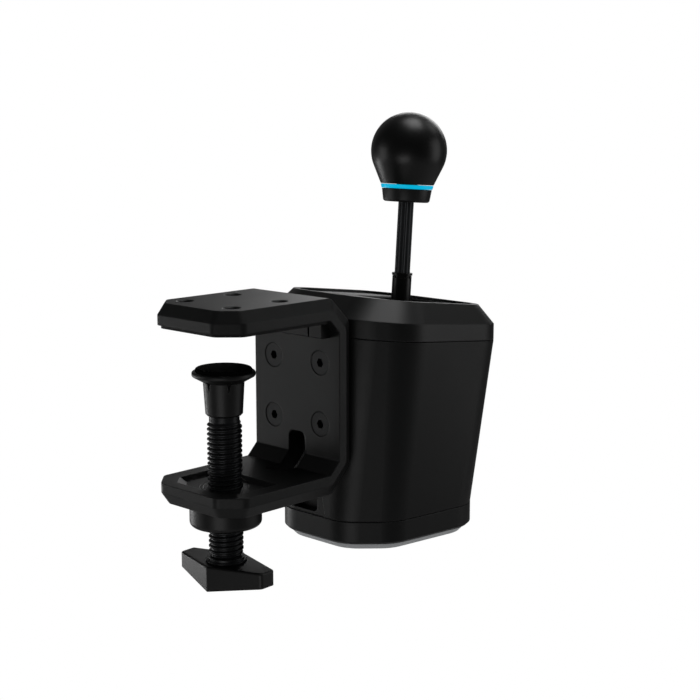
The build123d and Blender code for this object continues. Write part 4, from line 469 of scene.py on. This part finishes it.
@dataclass
class GearLever:
    """Knob, ring, neck and fluted rod, on an axis that leans towards the driver.

    Attributes:
        lean: Lean in degrees.
        pivot: The lever's pivot.
        ball_radius: Radius of the knob's ball.
        ball_centre: The ball's centre, along the lever from the pivot, like the lengths below.
        ring_radius: Radius of the knob's foot and of the cyan ring's upper edge.
        ring_taper: How much smaller the ring's lower edge is.
        ring_low: The ring's lower face.
        ring_high: The ring's upper face.
        neck_low: The neck's lower face.
        neck_top_radius: Radius of the neck under the ring.
        neck_low_radius: Radius of the neck at its foot.
        rod_radius: Radius over the rod's ribs.
        flutes: Number of flutes.
        flute_depth: Depth of each flute.
        flute_land: Share of the flute's wave that stays rib.
        rod_low: The rod's lower end, inside the sleeve.
        rod_entry: Length of the rod inside the neck.
        knob_bore: Radius at which the knob's flat foot starts.
        ring_bore: The same for the ring and the neck.
        seat_gap: Space between the knob and the ring.
        ring_gap: Dark line above and below the ring.
        foot_edge: Rounding of the knob's foot.
        ring_edge: Rounding of the ring.
        neck_top_edge: Rounding of the neck's top.
        neck_low_edge: Rounding of the neck's foot.
        segments: Points round the knob, the ring and the neck.
        flute_segments: Points round each flute.
        ball_rows: Rings of points on the ball.
        rod_rows: Rings of points along the rod.
    """

    lean: float = 4.24
    pivot: tuple[float, float, float] = (0.0, -0.1509, -0.0835)
    ball_radius: float = 0.0250
    ball_centre: float = 0.1827
    ring_radius: float = 0.0175
    ring_taper: float = 0.0007
    ring_low: float = 0.1576
    ring_high: float = 0.1606
    neck_low: float = 0.1491
    neck_top_radius: float = 0.0165
    neck_low_radius: float = 0.0152
    rod_radius: float = 0.0051
    flutes: int = 12
    flute_depth: float = 0.00045
    flute_land: float = 0.45
    rod_low: float = 0.0573
    rod_entry: float = 0.0025
    knob_bore: float = 0.002
    ring_bore: float = 0.004
    seat_gap: float = 0.0001
    ring_gap: float = 0.0002
    foot_edge: float = 0.0005
    ring_edge: float = 0.0004
    neck_top_edge: float = 0.0003
    neck_low_edge: float = 0.0018
    segments: int = 128
    flute_segments: int = 16
    ball_rows: int = 60
    rod_rows: int = 40

    def axis(self) -> Axis:
        """The lever's own axis."""
        slope = math.radians(self.lean)
        return Axis(self.pivot, (0.0, -math.sin(slope), math.cos(slope)))

    def knob_profile(self) -> Array:
        """Bulb: a ball whose taper leaves it along the tangent that reaches the ring.

        The tangent from (ring radius, ring top) touches the circle at the angle
        acos(R / d) - atan2(drop, ring radius), d being that point's distance from the centre.
        """
        drop = self.ball_centre - self.ring_high
        reach = math.hypot(self.ring_radius, drop)
        touch = math.acos(self.ball_radius / reach) - math.atan2(drop, self.ring_radius)
        angle = np.linspace(touch, np.pi / 2, self.ball_rows)[:-1]
        ball = np.stack([self.ball_radius * np.cos(angle),
                         self.ball_centre + self.ball_radius * np.sin(angle)], axis=-1)
        foot = rounded([(self.knob_bore, self.ring_high + self.seat_gap, 0.0),
                        (self.ring_radius, self.ring_high + self.seat_gap, self.foot_edge),
                        (float(ball[0, 0]), float(ball[0, 1]), 0.0)])
        return np.concatenate([foot, ball[1:]])

    def build(self, dresser: Dresser) -> list[bpy.types.Object]:
        """Builds and dresses the lever's pieces.

        Args:
            dresser: Gives the finishes.

        Returns:
            The new pieces.
        """
        axis = self.axis()
        low, high = self.ring_low + self.ring_gap, self.ring_high - self.ring_gap
        knob = turned("knob_bulb", axis, self.knob_profile(), self.segments)
        ring = turned("knob_cyan_band", axis, rounded([
            (self.ring_bore, low, 0),
            (self.ring_radius - self.ring_taper, low, self.ring_edge),
            (self.ring_radius, high, self.ring_edge), (self.ring_bore, high, 0)]), self.segments)
        neck = turned("knob_neck_cap", axis, rounded([
            (self.ring_bore, self.neck_low, 0),
            (self.neck_low_radius, self.neck_low, self.neck_low_edge),
            (self.neck_top_radius, self.ring_low, self.neck_top_edge),
            (self.ring_bore, self.ring_low, 0)]), self.segments)
        rows = np.linspace(self.rod_low, self.neck_low + self.rod_entry, self.rod_rows)[:, None]
        angle = np.linspace(0, 2 * np.pi, self.flute_segments * self.flutes,
                            endpoint=False)[None, :]
        # Flute: |cos| of half the flute angle, cut off, so that ribs are flat and grooves round
        groove = np.clip(np.abs(np.cos(angle * self.flutes / 2)) - self.flute_land, 0, 1)
        groove /= 1.0 - self.flute_land
        radius = self.rod_radius - self.flute_depth * groove + 0 * rows
        rod = closed_surface("fluted_rod", axis.points(radius, angle + 0 * rows, rows + 0 * angle),
                             sharp=50)
        pieces = [knob, ring, neck, rod]
        for piece, finish, slot, nodes in (
                (knob, KNOB_SHELL, "knob_shell", ("knob_body",)),
                (ring, KNOB_CYAN, "knob_cyan", ("knob_ring",)),
                (neck, KNOB_GREY, "knob_grey", ("knob_neck",)),
                (rod, ROD_STEEL, "black_steel", ("lever_rod",))):
            dresser.dress(piece, finish)
            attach(piece, "knob")
            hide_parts(*nodes)
            LOG.info("built %s", piece.name)
        dresser.dress_nodes({
            "knob_insert": BRASS, "lever_sleeve": SLEEVE_STEEL, "height_collet": SLEEVE_STEEL,
            "dust_dome": BLACK_PLASTIC, "lever_hub": CAST_ALLOY, "cross_shaft": BRIGHT_STEEL,
            "shaft_circlips": SPRING_STEEL, "roll_magnet": MAGNET_NICKEL,
            "roll_spring": SPRING_STEEL})
        return pieces


@dataclass
class ClampSpindle:
    """Clamp screw with its real helical thread, the pressure foot and the turning handle.

    Attributes:
        crest: Thread's outer radius.
        root: Thread's inner radius.
        pitch: Thread's pitch.
        thread_low: Lower end of the thread.
        thread_high: Upper end of the thread.
        shank_high: Top of the plain shank under the foot.
        tang_low: Lower end of the tang inside the handle.
        tang_radius: Radius of the tang.
        spigot_radius: Radius of the spigot inside the foot.
        spigot_high: Top of the spigot.
        crest_half: Half the crest's width, as a share of the pitch.
        flank: Each flank's height, as a share of the pitch.
        rows_a_turn: Rings of points in one pitch.
        segments: Points round the screw.
    """

    crest: float = 0.0105
    root: float = 0.00915
    pitch: float = 0.003
    thread_low: float = -0.1395
    thread_high: float = -0.0555
    shank_high: float = -0.0528
    tang_low: float = -0.1505
    tang_radius: float = 0.0079
    spigot_radius: float = 0.006
    spigot_high: float = -0.0335
    crest_half: float = 0.125
    flank: float = 0.25
    rows_a_turn: int = 16
    segments: int = 72

    def thread_radius(self, angle: Array, height: Array) -> Array:
        """Radius of the thread's surface.

        One turn of the phase is one pitch. The profile is a trapezium: flat crest, flat root
        and straight flanks, and it fades to the root over one pitch at both ends.

        Args:
            angle: Angles round the axis.
            height: Heights, of the same shape.

        Returns:
            Radii, of the same shape.
        """
        phase = (height / self.pitch - angle / (2 * np.pi)) % 1.0
        rise = np.clip((self.crest_half + self.flank - np.abs(phase - 0.5)) / self.flank,
                       0.0, 1.0)
        fade = np.clip(np.minimum(height - self.thread_low, self.thread_high - height)
                       / self.pitch, 0.0, 1.0)
        return self.root + (self.crest - self.root) * rise * fade

    def build(self, dresser: Dresser) -> list[bpy.types.Object]:
        """Builds the helical screw and dresses the foot, collar and handle.

        Args:
            dresser: Gives the finishes.

        Returns:
            The new pieces.
        """
        turns = (self.thread_high - self.thread_low) / self.pitch
        height = np.linspace(self.thread_low, self.thread_high,
                             int(turns * self.rows_a_turn) + 1)
        angle = np.linspace(0, 2 * np.pi, self.segments, endpoint=False)
        heights, angles = np.meshgrid(height, angle, indexing="ij")
        radii = self.thread_radius(angles, heights)
        ends = [(self.tang_radius, self.tang_low), (self.tang_radius, self.thread_low)]
        tops = [(self.root, self.shank_high), (self.spigot_radius, self.shank_high),
                (self.spigot_radius, self.spigot_high)]
        low = np.repeat(np.array(ends)[:, None, :], len(angle), axis=1)
        high = np.repeat(np.array(tops)[:, None, :], len(angle), axis=1)
        radius = np.concatenate([low[..., 0], radii, high[..., 0]])
        length = np.concatenate([low[..., 1], heights, high[..., 1]])
        around = np.broadcast_to(angle, radius.shape)
        axis = Axis((0.0, 0.0, 0.0), (0.0, 0.0, 1.0))
        screw = closed_surface("helical_clamp_screw", axis.points(radius, around, length), 35)
        dresser.dress(screw, BLACK_STEEL)
        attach(screw, "spindle")
        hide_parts("clamp_screw")
        LOG.info("built %s", screw.name)
        dresser.dress_nodes({
            "pressure_foot": HANDLE_PLASTIC, "foot_rubber": RUBBER, "foot_circlip": SPRING_STEEL,
            "handle_collar": BLACK_STEEL, "clamp_handle": HANDLE_PLASTIC,
            "handle_screw": SOCKET_STEEL})
        return [screw]


@dataclass
class DeskBracket:
    """C bracket, its screws, pads and nut."""

    coat: Finish = BRACKET_COAT

    def build(self, dresser: Dresser) -> None:
        """Dresses the bracket's nodes."""
        dresser.dress_nodes({
            "c_bracket": self.coat, "jaw_pad": PAD_RUBBER, "edge_stop": BLACK_PLASTIC,
            "bracket_screws": SOCKET_STEEL, "mount_spacer": BLACK_PLASTIC,
            "screw_nut": HANDLE_PLASTIC, "nut_bush": BLACK_STEEL})


@dataclass
class Casing:
    """Body shell, bezel, base, gate plate and the connector bay."""

    def build(self, dresser: Dresser) -> None:
        """Dresses the casing's nodes."""
        dresser.dress_nodes({
            "body_shell": CASING_SKIN, "base_cap": CASING_SKIN, "top_bezel": BEZEL_SKIN,
            "gate_plate": GATE_SKIN, "gate_screws": SOCKET_STEEL, "foot_plate": FOOT_TRIM,
            "base_screws": SOCKET_STEEL, "connector_bay": BLACK_PLASTIC,
            "data_socket": BRIGHT_STEEL, "accessory_socket": BLACK_PLASTIC})


@dataclass
class Mechanism:
    """Chassis, gimbal, springs, sensors and boards inside the casing."""

    def build(self, dresser: Dresser) -> None:
        """Dresses the inner nodes."""
        dresser.dress_nodes({
            "chassis": CAST_ALLOY, "side_plate_left": CAST_ALLOY, "side_plate_right": CAST_ALLOY,
            "side_plate_screws": SOCKET_STEEL, "bearing_left": BRIGHT_STEEL,
            "bearing_right": BRIGHT_STEEL, "gimbal_yoke": CAST_ALLOY,
            "journal_circlips": SPRING_STEEL, "pitch_magnet": MAGNET_NICKEL,
            "cross_bushes": BRONZE, "detent_plunger": BRASS, "bump_stops": RUBBER,
            "pitch_spring_front": SPRING_STEEL, "pitch_spring_rear": SPRING_STEEL,
            "main_board": CIRCUIT_GREEN, "board_parts": CHIP_BLACK, "board_screws": BRIGHT_STEEL,
            "pitch_sensor": CIRCUIT_GREEN, "roll_sensor": CIRCUIT_GREEN})


@dataclass(frozen=True)
class Softbox:
    """A rectangular studio lamp.

    Attributes:
        name: The lamp's name.
        place: Where it hangs.
        aim: The point it faces.
        size: Width and height.
        power: Watts.
    """

    name: str
    place: tuple[float, float, float]
    aim: tuple[float, float, float]
    size: tuple[float, float]
    power: float

    def hang(self) -> None:
        """Adds the lamp to the scene."""
        data = bpy.data.lights.new(self.name, "AREA")
        data.shape = "RECTANGLE"
        data.size, data.size_y = self.size
        data.energy = self.power
        lamp = bpy.data.objects.new(self.name, data)
        lamp.visible_camera = False
        lamp.location = self.place
        towards = Vector(self.aim) - Vector(self.place)
        lamp.rotation_euler = towards.to_track_quat("-Z", "Y").to_euler()
        bpy.context.scene.collection.objects.link(lamp)


@dataclass
class Studio:
    """Floor, lamps, world and camera.

    Attributes:
        eye: The camera's place.
        back: Unit direction from the view's centre towards the camera.
        lens: Focal length in millimetres on a 36 mm sensor.
        floor_z: The floor, a desk's height below the desk top.
        floor_reach: Half the floor's side.
        glow: Direction of the faint sweep behind the object, as reflections see it.
        glow_edge: Cosine from that direction at which the sweep starts.
        glow_core: Cosine at which it is full.
        glow_level: Brightness of that sweep.
        room_level: Brightness of the rest of the room in reflections.
        soft_level: Brightness that matt surfaces gather from all round.
        clip: Nearest and farthest distance that the camera sees.
        lamps: The softboxes, and a bright card behind the object.
    """

    eye: tuple[float, float, float] = (-0.63319, 0.55398, 0.13484)
    back: tuple[float, float, float] = (-0.6806, 0.7118, 0.1743)
    lens: float = 74.16
    floor_z: float = -0.74
    floor_reach: float = 2.2
    glow: tuple[float, float, float] = (0.62, -0.70, 0.36)
    glow_edge: float = 0.5
    glow_core: float = 0.92
    glow_level: float = 0.12
    room_level: float = 0.03
    soft_level: float = 0.5
    clip: tuple[float, float] = (0.01, 50.0)
    lamps: tuple[Softbox, ...] = (
        Softbox("overhead_softbox", (-0.10, -0.34, 1.22), (0.0, -0.10, 0.0), (0.7, 0.6), 5.3),
        Softbox("right_softbox", (-0.95, -1.00, 0.10), (0.0, -0.10, -0.05), (0.7, 1.0), 2.2),
        Softbox("left_softbox", (1.08, 0.95, -0.08), (0.0, -0.06, -0.05), (0.7, 0.8), 2.3),
        Softbox("low_left_softbox", (1.38, 0.18, -0.45), (0.0, 0.0, -0.12), (0.5, 0.3), 1.9),
        Softbox("low_softbox", (-0.57, 1.07, -0.50), (0.0, -0.10, -0.08), (0.75, 0.35), 1.7),
        Softbox("back_card", (0.54, -1.04, 0.45), (0.0, -0.05, 0.02), (0.70, 0.44), 2.6),
        Softbox("rear_softbox", (-0.25, -1.00, 0.85), (0.0, -0.05, 0.0), (0.5, 0.4), 0.6),
    )

    def floor(self) -> None:
        """Adds the plain pale floor, which is white in the picture and grey in reflections."""
        reach = self.floor_reach
        mesh = bpy.data.meshes.new("studio_floor")
        mesh.from_pydata([(-reach, -reach, self.floor_z), (reach, -reach, self.floor_z),
                          (reach, reach, self.floor_z), (-reach, reach, self.floor_z)], [],
                         [(0, 1, 2, 3)])
        floor = bpy.data.objects.new("studio_floor", mesh)
        bpy.context.scene.collection.objects.link(floor)
        material = bpy.data.materials.new("pale_floor_paint")
        material.use_nodes = True
        tree = material.node_tree
        tree.nodes.clear()
        seen = add_node(tree, "ShaderNodeLightPath").outputs["Is Camera Ray"]
        paint = add_node(tree, "ShaderNodeBsdfDiffuse", {"Color": linear("#9A9A9A")})
        white = add_node(tree, "ShaderNodeEmission", {"Color": linear("#FFFFFF")})
        mixed = add_node(tree, "ShaderNodeMixShader", links={0: seen, 1: paint.outputs[0],
                                                             2: white.outputs[0]})
        add_node(tree, "ShaderNodeOutputMaterial", links={"Surface": mixed.outputs[0]})
        mesh.materials.append(material)

    def surroundings(self) -> None:
        """White for the camera, soft for matt light, and nearly black for reflections."""
        world = bpy.data.worlds.new("studio_world")
        bpy.context.scene.world = world
        world.use_nodes = True
        tree = world.node_tree
        tree.nodes.clear()
        path = add_node(tree, "ShaderNodeLightPath")
        way = add_node(tree, "ShaderNodeTexCoord").outputs["Generated"]
        facing = add_node(tree, "ShaderNodeVectorMath", {"operation": "DOT_PRODUCT"}, {0: way})
        facing.inputs[1].default_value = self.glow
        level = add_node(tree, "ShaderNodeMapRange",
                         {"interpolation_type": "SMOOTHSTEP", "From Min": self.glow_edge,
                          "From Max": self.glow_core, "To Min": self.room_level,
                          "To Max": self.glow_level},
                         {"Value": facing.outputs["Value"]})
        room = add_node(tree, "ShaderNodeBackground", {"Color": (1.0, 1.0, 1.0, 1.0)},
                        {"Strength": level.outputs["Result"]})
        soft = add_node(tree, "ShaderNodeBackground",
                        {"Color": (1.0, 1.0, 1.0, 1.0), "Strength": self.soft_level})
        white = add_node(tree, "ShaderNodeBackground", {"Color": (1.0, 1.0, 1.0, 1.0)})
        matt = add_node(tree, "ShaderNodeMixShader", links={
            0: path.outputs["Is Diffuse Ray"], 1: room.outputs[0], 2: soft.outputs[0]})
        mixed = add_node(tree, "ShaderNodeMixShader", links={
            0: path.outputs["Is Camera Ray"], 1: matt.outputs[0], 2: white.outputs[0]})
        add_node(tree, "ShaderNodeOutputWorld", links={"Surface": mixed.outputs[0]})

    def camera(self) -> None:
        """Adds the camera at the photograph's viewing angle."""
        data = bpy.data.cameras.new("studio_camera")
        data.lens, data.sensor_width = self.lens, PICTURE_SENSOR_MM
        data.clip_start, data.clip_end = self.clip
        camera = bpy.data.objects.new("studio_camera", data)
        camera.location = self.eye
        camera.rotation_euler = (-Vector(self.back)).to_track_quat("-Z", "Y").to_euler()
        bpy.context.scene.collection.objects.link(camera)
        bpy.context.scene.camera = camera

    def build(self) -> None:
        """Sets up the whole studio."""
        self.camera()
        self.floor()
        self.surroundings()
        for lamp in self.lamps:
            lamp.hang()
        bpy.context.scene.view_settings.view_transform = "Standard"
        LOG.info("studio ready")


def main() -> None:
    """Builds the shifter's looks in order."""
    logging.basicConfig(level=logging.INFO, format="%(name)s: %(message)s")
    dresser = Dresser()
    Studio().build()
    DeskBracket().build(dresser)
    Casing().build(dresser)
    Mechanism().build(dresser)
    GearLever().build(dresser)
    ClampSpindle().build(dresser)


if __name__ == "__main__":
    main()
